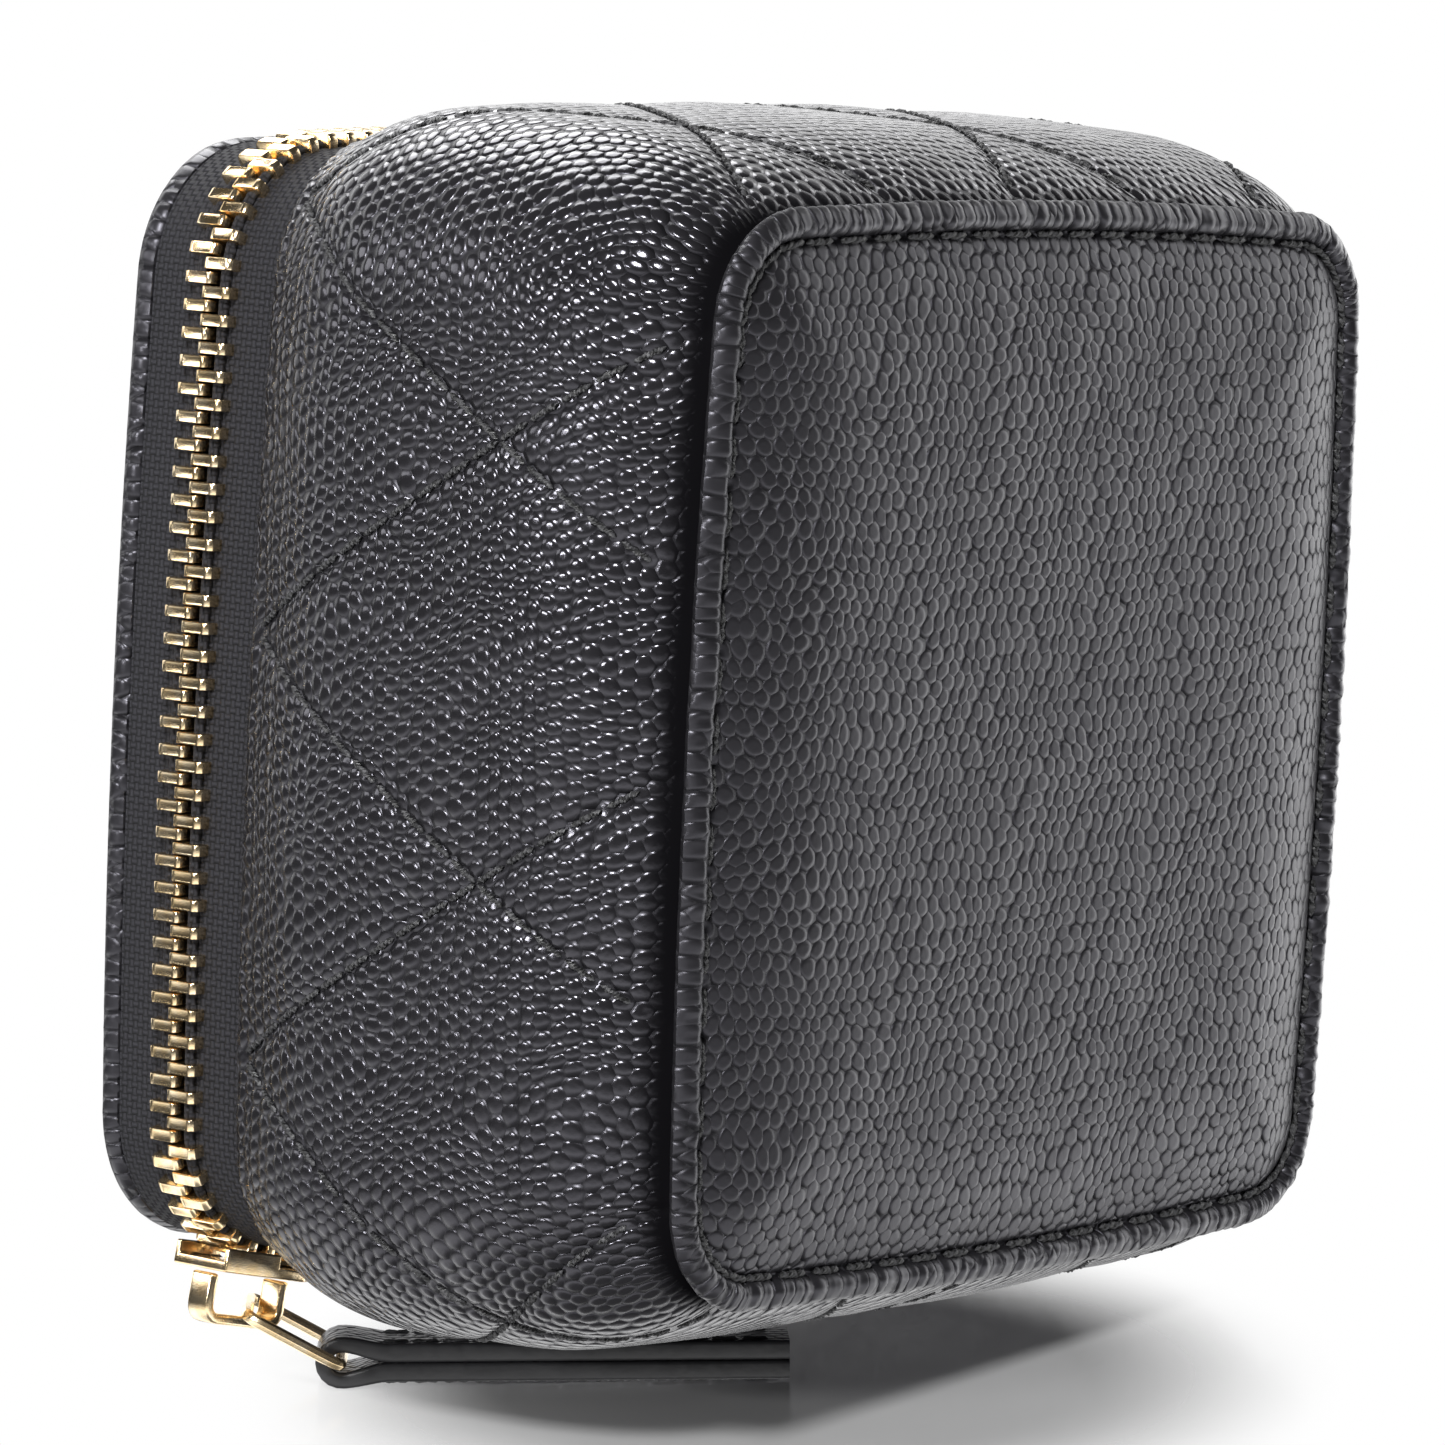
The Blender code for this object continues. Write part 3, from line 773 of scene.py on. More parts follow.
def carry(made: Object, body: Body, slot: Slot, *nodes: str) -> Object:
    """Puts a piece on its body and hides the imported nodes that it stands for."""
    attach(made, body.value)
    if nodes:
        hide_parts(*nodes)
    LOG.info("%s rides on %s, %d faces", made.name, body.value, len(made.data.polygons))
    return made


def dress(name: str, bm: BMesh, finish: Finish, body: Body, *nodes: str, sharp: float = 45.0) -> Object:
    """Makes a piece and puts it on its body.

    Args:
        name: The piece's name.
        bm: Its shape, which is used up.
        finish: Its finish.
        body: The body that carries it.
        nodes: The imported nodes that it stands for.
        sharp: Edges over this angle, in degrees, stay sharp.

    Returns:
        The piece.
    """
    return carry(piece(name, bm, finish, sharp), body, finish.slot, *nodes)


def stamp(bm: BMesh, shape: Mesh, place: Matrix) -> None:
    """Adds a copy of a small shape to a mesh, at its place."""
    before = len(bm.verts)
    bm.from_mesh(shape)
    bm.verts.ensure_lookup_table()
    bmesh.ops.transform(bm, matrix=place, verts=bm.verts[before:])


@dataclass(frozen=True)
class Stitch:
    """One stitch of two twisted plies that lies between its two holes."""

    length: float = 2.3 * MM
    radius: float = 0.2 * MM
    twist: float = 1.5
    rings: int = 8
    sides: int = 8
    ply_depth: float = 0.20
    blunt_end: float = 0.06

    @cached_property
    def shape(self) -> Mesh:
        """The stitch along Z, its plies wound round each other and drawn in at both ends."""
        bm = bmesh.new()
        bmesh.ops.create_cone(bm, segments=self.sides, radius1=1.0, radius2=1.0, depth=1.0, cap_ends=True)
        ribs = [edge for edge in bm.edges if abs(edge.verts[0].co.z - edge.verts[1].co.z) > 0.5]
        bmesh.ops.subdivide_edges(bm, edges=ribs, cuts=self.rings - 1)
        for vert in bm.verts:
            share = 2 * vert.co.z
            angle = math.atan2(vert.co.y, vert.co.x)
            turned = angle - share * math.pi * self.twist / 2
            ply = 1 - self.ply_depth + self.ply_depth * math.cos(2 * angle)
            reach = self.radius * ply * math.sqrt(max(self.blunt_end, 1 - share**4))
            vert.co = Vector((reach * math.cos(turned), reach * math.sin(turned), share * self.length / 2))
        return mesh_of("stitch", bm)

    def lay(self, bm: BMesh, middle: Vector, along: Vector, outward: Vector) -> None:
        """Adds a stitch to a mesh.

        Args:
            bm: The mesh of a row of stitches.
            middle: The stitch's middle.
            along: The way it runs.
            outward: The way out of the leather.
        """
        z_axis = along.normalized()
        y_axis = (outward - z_axis * outward.dot(z_axis)).normalized()
        stamp(bm, self.shape, Matrix.Translation(middle) @ axes(y_axis.cross(z_axis), y_axis, z_axis))


def seam(points: list[Vector], outward: Callable[[Vector], Vector], stitch: Stitch, bm: BMesh) -> None:
    """Lays one stitch between each two points of a seam.

    Args:
        points: The needle holes in order.
        outward: Gives the way out of the leather at a point.
        stitch: The stitch to lay.
        bm: The mesh that takes them.
    """
    for first, second in zip(points, points[1:]):
        middle = (first + second) / 2
        stitch.lay(bm, middle, second - first, outward(middle))


def evenly(start: float, end: float, step: float) -> Iterator[float]:
    """Places from start to end, spaced as near to a step as fits."""
    count = max(1, round((end - start) / step))
    for i in range(count + 1):
        yield start + (end - start) * i / count


# Sub-assemblies


@dataclass
class QuiltedWall:
    """The padded outer wall with its diamond quilting and turned upper edge."""

    foot: float = 2.7 * MM
    top: float = 50.0 * MM
    depth: float = 4.6 * MM
    tuck: float = 3.2 * MM
    crown: float = 4.2 * MM
    lip: float = 0.2 * MM
    fullness: float = 3.0
    corner_fill: float = 0.08
    repeats: int = 10
    rise: float = 28.7 * MM
    crossing: float = 48.5 * MM
    first_line: float = -7.65 * MM
    pillow: float = 0.40 * MM
    channel: float = 0.22 * MM
    channel_half: float = 0.5 * MM
    flat_edge: float = 0.8 * MM
    flat_fade: float = 2.0 * MM
    hem: float = 4.5 * MM
    hem_crease: float = 0.14 * MM
    hem_half: float = 0.6 * MM
    bead: float = 0.30 * MM
    bead_down: float = 0.9 * MM
    bead_half: float = 0.7 * MM
    gathers: Pair = (0.61 * MM, 0.37 * MM)
    turned: float = 0.5 * MM
    columns: int = 840
    rows: int = 104
    stretch: Route = field(default_factory=lambda: ROUTE.beside(3.5 * MM))
    stitch: Stitch = field(default_factory=lambda: Stitch(3.1 * MM, 0.36 * MM, 3.0, 10))
    stitch_spacing: float = 1.06
    thread_lift: float = 0.20 * MM
    thread_ends: Pair = (3.0 * MM, 2.0 * MM)
    crease: float = 1.3 * MM
    crease_height: float = 2.3 * MM
    skin: float = 0.08 * MM
    fill: float = 0.7

    @property
    def repeat(self) -> float:
        """Length of one diamond round the wall."""
        return ROUTE.length / self.repeats

    @property
    def section_rows(self) -> int:
        """Rows right round the wall's section: the leather's own and the five that close it."""
        return self.rows + 5

    def nearest(self, s: float, z: float) -> float:
        """Distance to the nearest stitched line, as a share of a repeat."""
        across = (s - self.first_line) / self.repeat
        down = (self.crossing - z) / (2 * self.rise)
        return min(abs(t - round(t)) for t in (across - down, across + down))

    def offset(self, s: float, z: float) -> float:
        """How far the leather stands out from the zip's route."""
        rise = (z - self.foot) / (self.top - self.foot)
        level = self.lip * rise - self.tuck * (1 - rise)
        middle = (self.lip - self.tuck) / 2
        along = (s / ROUTE.quarter + 0.5) % 1.0
        fill = 1 + self.corner_fill * abs(2 * along - 1) ** 4
        full = level + (self.crown - middle) * fill * (1 - abs(2 * rise - 1) ** self.fullness)
        near = self.nearest(s, z)
        gap = near / math.hypot(1 / self.repeat, 1 / (2 * self.rise))
        below_hem = min(1.0, max(0.0, (self.top - self.flat_edge - z) / self.flat_fade))
        quilt = self.pillow * (1 - 2 * near) ** 3 + self.channel * math.exp(-((gap / self.channel_half) ** 2))
        hem = self.hem_crease * math.exp(-(((z - self.top + self.hem) / self.hem_half) ** 2))
        coarse, fine = self.gathers
        pull = 1 + 0.5 * math.sin(s / coarse) * math.sin(s / fine + 1.0)
        bead = self.bead * pull * math.exp(-(((z - self.top + self.bead_down) / self.bead_half) ** 2))
        crease = self.crease * math.exp((self.foot - z) / self.crease_height)
        return max(full - quilt * below_hem - hem + bead - crease, self.skin - self.depth)

    def place(self, u: float, v: float) -> Vector:
        """A point of the wall's closed section at its place round the case."""
        s = ROUTE.matching(self.stretch, self.stretch.quarter + self.stretch.length * (u % 1.0))
        row = round(v * self.section_rows) % self.section_rows
        if row <= self.rows:
            t = row / self.rows
            return self.surface(s, self.foot + (self.top - self.turned - self.foot) * t)
        edge = self.offset(s, self.top)
        closing = (
            (edge - self.turned * 0.5, self.top - self.turned * 0.24),
            (edge - self.turned * 1.8, self.top),
            (-self.depth, self.top),
            (-self.depth, self.foot),
        )
        offset, z = closing[row - self.rows - 1]
        return ROUTE.point(s, offset, z)

    def shell(self) -> BMesh:
        """The wall as a closed ring."""
        return sheet(self.columns, self.section_rows, self.place)

    def surface(self, s: float, z: float, lift: float = 0.0) -> Vector:
        """A point on the leather."""
        return ROUTE.point(s, self.offset(s, z) + lift, z)

    def threads(self) -> BMesh:
        """Stitches along both families of diamond lines."""
        bm = bmesh.new()
        low, high = self.foot + self.thread_ends[0], self.top - self.thread_ends[1]
        slope = self.repeat / (2 * self.rise)
        step = self.stitch.length * self.stitch_spacing / math.hypot(1.0, slope)
        for number in range(self.repeats):
            for way in (1, -1):
                holes = []
                for z in evenly(low, high, step):
                    s = self.first_line + number * self.repeat + way * (self.crossing - z) * slope
                    holes.append(self.surface(s, z, self.thread_lift))
                seam(holes, self.outward, self.stitch, bm)
        return bm

    def outward(self, point: Vector) -> Vector:
        """The way out of the wall at a point."""
        return Vector((point.x, point.y, 0.0))

    def build(self) -> None:
        """Makes the wall and its stitching."""
        wall = dress("wall_leather_quilted", self.shell(), WALL_LEATHER, Body.CASE, "quilted_wall")
        dress("wall_quilt_stitches", self.threads(), THREAD, Body.CASE)


@dataclass
class EdgedPanel:
    """A padded leather panel with a turned rim and a row of stitches inside it, as on the base and the lid."""

    name: str
    edge: float
    outer: float
    inner: float
    stitch_in: float
    finish: GrainedLeather
    body: Body
    node: str
    sink: float = 0.0
    swell: float = 0.6 * MM
    crown: float = 0.0
    pillow_width: float = 24.0 * MM
    fill: float = 0.6
    pull: float = 0.03 * MM
    folds: tuple[Pair, ...] = ((0.9 * MM, 1.9), (2.1 * MM, 1.5), (6.0 * MM, 1.0))
    rim_round: float = 1.0 * MM
    roll: float = 0.35 * MM
    groove: float = 0.70 * MM
    rim_stretch: float = 3.0
    columns: int = 1400
    field_rings: int = 10
    field_steps: tuple[float, ...] = (6.6, 5.2, 4.0, 3.0, 2.2, 1.5, 0.95, 0.55)
    stitch: Stitch = field(default_factory=lambda: Stitch(3.6 * MM, 0.44 * MM, 2.5, 12))
    stitch_pitch: float = 4.8 * MM
    stitch_share: float = 0.75
    thread_lift: float = 0.24 * MM
    hole_half: float = 0.55 * MM
    hole_depth: float = 0.3 * MM

    @property
    def up(self) -> float:
        """Which way the panel's outer face points along Z."""
        return math.copysign(1.0, self.outer - self.inner)

    @property
    def stitches(self) -> int:
        """How many stitches go right round."""
        return round(ROUTE.length / self.stitch_pitch)

    def wrinkle(self, s: float) -> float:
        """Uneven small folds across the rim, where the leather was turned."""
        turn = heading(2 * math.pi * s / ROUTE.length) * ROUTE.length / (2 * math.pi)
        return sum(size * noise.noise(turn / step) for step, size in self.folds)

    def hole(self, s: float) -> float:
        """1 at a needle hole, falling to 0 beside it."""
        turn = s * self.stitches / ROUTE.length - (1 + self.stitch_share) / 2
        away = abs(turn - round(turn)) * self.stitch_pitch
        return math.exp(-((away / self.hole_half) ** 2))

    def field_drop(self, inside: float) -> float:
        """How far the padded field lies behind the outer face, at a distance inside the stitches."""
        left = max(0.0, 1 - inside / self.pillow_width)
        return (self.sink + self.groove + self.swell) * left**4 - self.swell

    def profile(self, s: float) -> list[Pair]:
        """The face and rim from the field's edge to the hidden side.

        Args:
            s: Distance along the route.

        Returns:
            Offsets from the panel's edge, with drops from its outer face.
        """
        pull, hole = self.wrinkle(s) * self.pull, self.hole(s) * self.hole_depth
        line = -self.stitch_in
        thick = abs(self.outer - self.inner)
        low = self.sink + self.groove
        return [
            *((line - step * MM, self.field_drop(step * MM)) for step in self.field_steps),
            (line - 0.25 * MM, low + hole * 0.6),
            (line, low + hole),
            (line + 0.22 * MM, low - 0.05 * MM + hole),
            (line + 0.40 * MM, self.sink + 0.25 * MM + pull + hole * 0.8),
            (line + 0.75 * MM, self.sink - self.roll * 0.3 + pull * 1.3 + hole * 0.4),
            (line + 1.2 * MM, self.sink - self.roll * 0.8 + pull),
            (-self.rim_round - 0.35 * MM, self.sink - self.roll * 0.8 + pull),
            (-self.rim_round * 0.55, self.sink + self.rim_round * 0.12 + pull),
            (-self.rim_round * 0.15 + pull * 0.5, self.sink + self.rim_round * 0.5),
            (pull * 0.8, (self.sink + thick) * 0.5),
            (-self.rim_round * 0.3 + pull * 0.5, thick - self.rim_round * 0.35),
            (-self.rim_round, thick),
        ]

    def shell(self) -> BMesh:
        """The panel: field, stitch line, rim and hidden side."""
        rows = self.field_rings + len(self.profile(0.0))

        def place(u: float, v: float) -> Vector:
            """A point of the panel from its middle to its hidden side."""
            s = BACK + ROUTE.length * u
            row = round(v * rows)
            profile = self.profile(s)
            offset, drop = profile[min(max(0, row - self.field_rings), len(profile) - 1)]
            share = min(1.0, row / self.field_rings) if row < rows else 0.0
            spot = ROUTE.point(s, self.edge + offset, 0.0) * share
            if row < self.field_rings:
                inside = self.field_steps[0] * MM + (1 - share) * ROUTE.half
                drop = self.field_drop(inside) - self.crown * (1 - share**2)
            return Vector((spot.x, spot.y, self.outer - self.up * drop))

        bm = sheet(self.columns, rows, place)
        self.lay_grain(bm, rows)
        return bm

    def lay_grain(self, bm: BMesh, rows: int) -> None:
        """Lays the grain flat on the field and along the rim, where the leather was pulled over.

        Args:
            bm: The panel, its UV map still in shares.
            rows: Its rows from the middle to the hidden side.
        """
        layer = bm.loops.layers.uv.active
        pitch = self.finish.pitch
        around = round(ROUTE.length / pitch)
        line_row = self.field_rings + len(self.field_steps) + 1
        profile = self.profile(0.0)
        steps = [0.0, *(math.dist(first, second) for first, second in zip(profile, profile[1:]))]
        for face in bm.faces:
            places = [(corner, round(corner[layer].uv.y * rows)) for corner in face.loops]
            on_rim = min(row for _, row in places) >= line_row
            for corner, row in places:
                across = sum(steps[:row - self.field_rings + 1])
                if on_rim:
                    corner[layer].uv = (corner[layer].uv.x * around, across / (pitch * self.rim_stretch))
                else:
                    corner[layer].uv = corner.vert.co.xy / pitch

    def threads(self) -> BMesh:
        """The row of stitches."""
        bm = bmesh.new()
        z = self.outer - self.up * (self.sink + self.groove - self.thread_lift)
        outward = Vector((0.0, 0.0, self.up))
        spacing = ROUTE.length / self.stitches
        for number in range(self.stitches):
            first, second = (ROUTE.point((number + share) * spacing, self.edge - self.stitch_in, z)
                             for share in (0.0, self.stitch_share))
            self.stitch.lay(bm, (first + second) / 2, second - first, outward)
        return bm

    def build(self) -> None:
        """Makes the panel and its stitches."""
        panel = dress(f"{self.name}_leather", self.shell(), self.finish, self.body, self.node)
        dress(f"{self.name}_stitches", self.threads(), THREAD, self.body)


@dataclass
class Zip:
    """Both tapes, their teeth and the stops."""

    height: float = 57.4 * MM
    chain_half: float = 2.8 * MM
    pitch: float = 2.5 * MM
    tooth_width: float = 1.05 * MM
    tooth_depth: float = 2.2 * MM
    head: float = 0.55 * MM
    foot_round: float = 0.62 * MM
    head_round: float = 0.4 * MM
    edge_round: float = 0.11 * MM
    face_rim: float = 0.2 * MM
    recess: float = 0.06 * MM
    hinge_half: float = 31.8 * MM
    tape_outer: float = -0.3 * MM
    tape_inner: float = -0.9 * MM
    tape_round: float = 0.15 * MM
    tape_columns: int = 360
    cord_columns: int = 300
    tape_away: float = 1.1 * MM
    cord_away: float = 1.45 * MM
    cord_radius: float = 0.55 * MM
    cord_in: float = 0.1 * MM
    lid_cord_short: float = 1.3 * MM
    lid_stop_depth: float = 0.45
    body_foot: float = 49.6 * MM
    lid_top: float = 65.0 * MM
    slider_at: float = 55.594 * MM
    wedge_start: float = 3.6 * MM
    stop_length: float = 2.2 * MM
    stop_round: float = 0.2 * MM
    gap: float = 0.3 * MM

    @property
    def left(self) -> float:
        """The closed end, beside the hinge."""
        return BACK - self.hinge_half

    @property
    def right(self) -> float:
        """The other end, on the far side of the hinge."""
        return BACK - ROUTE.length + self.hinge_half

    def tape(self, low: float, high: float) -> BMesh:
        """One tape along the whole zip."""
        section = rounded(((self.tape_outer, low), (self.tape_outer, high), (self.tape_inner, high),
                           (self.tape_inner, low)), self.tape_round)
        return section_sheet(self.tape_columns, section, (self.right, self.left))

    def cord(self, z: float, short: float = 0.0) -> BMesh:
        """The cord at a tape's edge, which the teeth grip, cut short at the slider."""
        ring = [(self.cord_radius * math.cos(a) - self.cord_in, z + self.cord_radius * math.sin(a))
                for a in (math.pi * i / 4 for i in range(8))]
        span = (self.right, self.slider_at + self.wedge_start - short)
        return section_sheet(self.cord_columns, ring, span)

    def across(self, bm: BMesh, low: float, high: float) -> list[BMEdge]:
        """A tooth's edges that run across it between two heights."""
        return [edge for edge in bm.edges if all(low < vert.co.z < high for vert in edge.verts)
                and abs(edge.verts[0].co.x - edge.verts[1].co.x) > 0.5 * self.tooth_width]

    def tooth(self) -> Mesh:
        """One tooth, head up, as a bar bent over the cord, with its edges rounded."""
        bm = bmesh.new()
        bmesh.ops.create_cube(bm, size=1.0)
        length = self.chain_half + self.head
        bmesh.ops.scale(bm, vec=(self.tooth_width, self.tooth_depth, length), verts=bm.verts)
        bmesh.ops.translate(bm, vec=(0.0, 0.0, length / 2 - self.chain_half), verts=bm.verts)
        for low, high, radius, segments in ((-math.inf, -self.chain_half * 0.9, self.foot_round, 3),
                                            (0.0, math.inf, self.head_round, 2)):
            bmesh.ops.bevel(bm, geom=self.across(bm, low, high), offset=radius, segments=segments, profile=0.5,
                            affect="EDGES", material=-1)
        face = max(bm.faces, key=lambda one: one.normal.y * one.calc_area())
        bmesh.ops.inset_individual(bm, faces=[face], thickness=self.face_rim, depth=-self.recess)
        soften(bm, self.edge_round)
        return mesh_of("tooth", bm)

    def row(self, start: float, way: int) -> BMesh:
        """A row of teeth.

        Args:
            start: The place of its last tooth.
            way: 1 where heads point up, on the body, and -1 on the lid.

        Returns:
            The row's mesh.
        """
        tooth = self.tooth()
        bm = bmesh.new()
        first = self.right + self.stop_length + 2 * self.gap + self.tooth_width
        turn = Matrix.Identity(4) if way > 0 else Matrix.Rotation(math.pi, 4, "Y")
        s = start
        while s > first:
            stamp(bm, tooth, ROUTE.stand(s, 0.0, self.height) @ turn)
            s -= self.pitch
        return bm

    def lid_stop(self) -> BMesh:
        """The lid's top stop, thin enough for the link to clear it while the lid stands open."""
        node = "zip_top_stop_lid"
        bm = softened_copy(node, self.stop_round)
        from_inside = Matrix.Translation((0.0, -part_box(node)[0][1], 0.0))
        bmesh.ops.scale(bm, vec=(1.0, self.lid_stop_depth, 1.0), space=from_inside, verts=bm.verts)
        return bm

    def build(self) -> None:
        """Makes the zip on the body and on the lid."""
        last = self.slider_at + self.wedge_start - self.gap - self.tooth_width
        cord_low, tape_low = self.height - self.cord_away, self.height - self.tape_away
        tape_high, cord_high = self.height + self.tape_away, self.height + self.cord_away
        lid_cord, lid_last = self.cord(cord_high, self.lid_cord_short), last - self.pitch / 2
        dress("zip_tape_on_body", self.tape(self.body_foot, tape_low), TAPE, Body.CASE, "zip_tape_body")
        dress("zip_tape_on_lid", self.tape(tape_high, self.lid_top), TAPE, Body.LID,
              "zip_tape_lid", "zip_tape_lid_end_left", "zip_tape_lid_end_right")
        dress("zip_cord_on_body", self.cord(cord_low), TAPE, Body.CASE)
        dress("zip_cord_on_lid", lid_cord, TAPE, Body.LID)
        dress("zip_teeth_on_body", self.row(last, 1), GOLD, Body.CASE,
              "zip_teeth_body", "zip_teeth_body_end", sharp=30.0)
        dress("zip_teeth_on_lid", self.row(lid_last, -1), GOLD, Body.LID,
              "zip_teeth_lid", "zip_teeth_lid_end_left", "zip_teeth_lid_end_right", sharp=30.0)
        for node in ("zip_bottom_stop", "zip_top_stop_body"):
            dress(f"{node}_crimp", softened_copy(node, self.stop_round), GOLD, Body.CASE, node, sharp=30.0)
        dress("zip_top_stop_lid_crimp", self.lid_stop(), GOLD, Body.LID, "zip_top_stop_lid", sharp=30.0)


@dataclass
class Slider:
    """The slider, the crown on it and the wire link of the pull."""

    plate_round: float = 0.34 * MM
    crown_round: float = 0.3 * MM
    wire_round: float = 0.05 * MM

    def build(self) -> None:
        """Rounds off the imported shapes."""
        for name, node, radius in (("slider_body_cast", "zip_slider", self.plate_round),
                                   ("slider_crown_band", "slider_crown", self.crown_round)):
            dress(name, softened_copy(node, radius, 3), GOLD, Body.SLIDER, node, sharp=40.0)
        link = piece("pull_link_wire", softened_copy("pull_link", self.wire_round), GOLD)
        smoothing = link.modifiers.new("round wire", "SUBSURF")
        smoothing.levels = smoothing.render_levels = 2
        carry(link, Body.LINK, GOLD.slot, "pull_link")


@dataclass
class PullStrap:
    """The folded leather strap on the link."""

    bar: Vector = field(default_factory=lambda: Vector((-34.2945, 60.2586, 50.7524)) * MM)
    along: Vector = field(default_factory=lambda: Vector((0.65516, -0.052336, -0.753675)))
    outward: Vector = field(default_factory=lambda: Vector((0.034335, 0.99863, -0.039498)))
    length: float = 41.0 * MM
    width: float = 7.0 * MM
    layer: float = 1.45 * MM
    loop: float = 2.4 * MM
    neck: float = 4.5 * MM
    half: float = 1.8 * MM
    edge_round: float = 0.4 * MM
    corners: int = 16
    columns: int = 150
    probe: float = 0.002
    stitch: Stitch = field(default_factory=lambda: Stitch(2.4 * MM, 0.26 * MM))
    stitch_step: float = 2.7 * MM
    stitch_in: float = 1.1 * MM
    stitch_end: float = 1.8 * MM
    thread_lift: float = 0.02 * MM

    @property
    def across(self) -> Vector:
        """The way across the strap."""
        return self.along.cross(self.outward)

    def middle_line(self, t: float) -> tuple[float, float, float]:
        """The middle of the leather along the folded strap, whose two layers meet beyond the neck.

        Args:
            t: Share from one free end, round the loop, to the other.

        Returns:
            Distance along the strap, height above its middle and half the leather's thickness.
        """
        turn = self.loop - self.layer / 2
        bend = math.pi * turn
        place = t * (2 * self.length + bend)
        if self.length <= place <= self.length + bend:
            angle = -math.pi / 2 - (place - self.length) / turn
            return turn * math.cos(angle), turn * math.sin(angle), self.layer / 2
        side = -1.0 if place < self.length else 1.0
        x = self.length - place if side < 0 else place - self.length - bend
        share = min(1.0, x / self.neck)
        ease = share * share * (3 - 2 * share)
        return x, side * (turn + (self.half / 2 - turn) * ease), (self.layer + (self.half - self.layer) * ease) / 2

    def spot(self, x: float, y: float, z: float) -> Vector:
        """A point from distances along, out from and across the strap."""
        return self.bar + self.along * x + self.outward * y + self.across * z

    def shell(self) -> BMesh:
        """The strap as one folded band with rounded edges."""
        half = self.width / 2

        def section(thick: float) -> list[Pair]:
            """The band's section at half a thickness."""
            corners = ((thick, -half), (thick, half), (-thick, half), (-thick, -half))
            return rounded(corners, self.edge_round, self.corners // 4)

        def place(u: float, v: float) -> Vector:
            """A corner of the band's section on its folded way."""
            x0, y0, _ = self.middle_line(max(0.0, u - self.probe))
            x1, y1, _ = self.middle_line(min(1.0, u + self.probe))
            way = Vector((x1 - x0, y1 - y0)).normalized()
            x, y, thick = self.middle_line(u)
            lift, across = section(thick)[round(v * self.corners) % self.corners]
            return self.spot(x - way.y * lift, y + way.x * lift, across)

        bm = sheet(self.columns, self.corners, place)
        loop = section(self.half / 2)
        lay_lengths(bm, 2 * self.length, [*loop, loop[0]], STRAP_LEATHER.pitch)
        close_ends(bm)
        return bm

    def threads(self) -> BMesh:
        """Stitches along both long edges, on both faces."""
        bm = bmesh.new()
        for side in (1, -1):
            for edge in (1, -1):
                z = edge * (self.width / 2 - self.stitch_in)
                places = evenly(self.neck * 0.8, self.length - self.stitch_end, self.stitch_step)
                holes = [self.spot(x, side * (self.half + self.thread_lift), z) for x in places]
                seam(holes, lambda _: self.outward * side, self.stitch, bm)
        return bm

    def build(self) -> None:
        """Makes the strap and its stitches."""
        strap = piece("pull_strap_leather", self.shell(), STRAP_LEATHER)
        strap.data.materials.append(EDGE.material())
        for face in strap.data.polygons:
            face.material_index = int(abs(face.normal.dot(self.across)) > 0.6)
        carry(strap, Body.TAB, STRAP_LEATHER.slot, "pull_tab")
        dress("pull_strap_stitches", self.threads(), THREAD, Body.TAB)


@dataclass
class Hinge:
    """The strip of leather that joins the lid to the back wall."""

    half: float = 31.5 * MM
    foot: float = 49.8 * MM
    top: float = 64.8 * MM
    outer: float = 0.0
    inner: float = -1.2 * MM
    swell: float = 0.25 * MM
    held: float = 2.5 * MM
    rows: int = 28
    columns: int = 60

    def build(self) -> None:
        """One strip between the case and the lid."""
        rows = self.rows

        def place(u: float, v: float) -> Vector:
            """A point of the strip's section, which runs up its outer face and down its inner face."""
            s = BACK + self.half * (2 * u - 1)
            row = round(v * 2 * (rows + 1))
            outside = row <= rows
            t = row / rows if outside else (2 * rows + 1 - row) / rows
            t = min(1.0, max(0.0, t))
            swell = self.swell * math.sin(math.pi * t) if outside else 0.0
            offset = (self.outer if outside else self.inner) + swell
            return ROUTE.point(s, offset, self.foot + (self.top - self.foot) * t)

        bm = sheet(self.columns, 2 * (rows + 1), place)
        close_ends(bm)
        strip = piece("hinge_strip_leather", bm, HINGE_LEATHER)
        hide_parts("hinge_leaf_body", "hinge_leaf_lid")
        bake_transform(strip)
        LOG.info("%s bends from the case to the lid", strip.name)


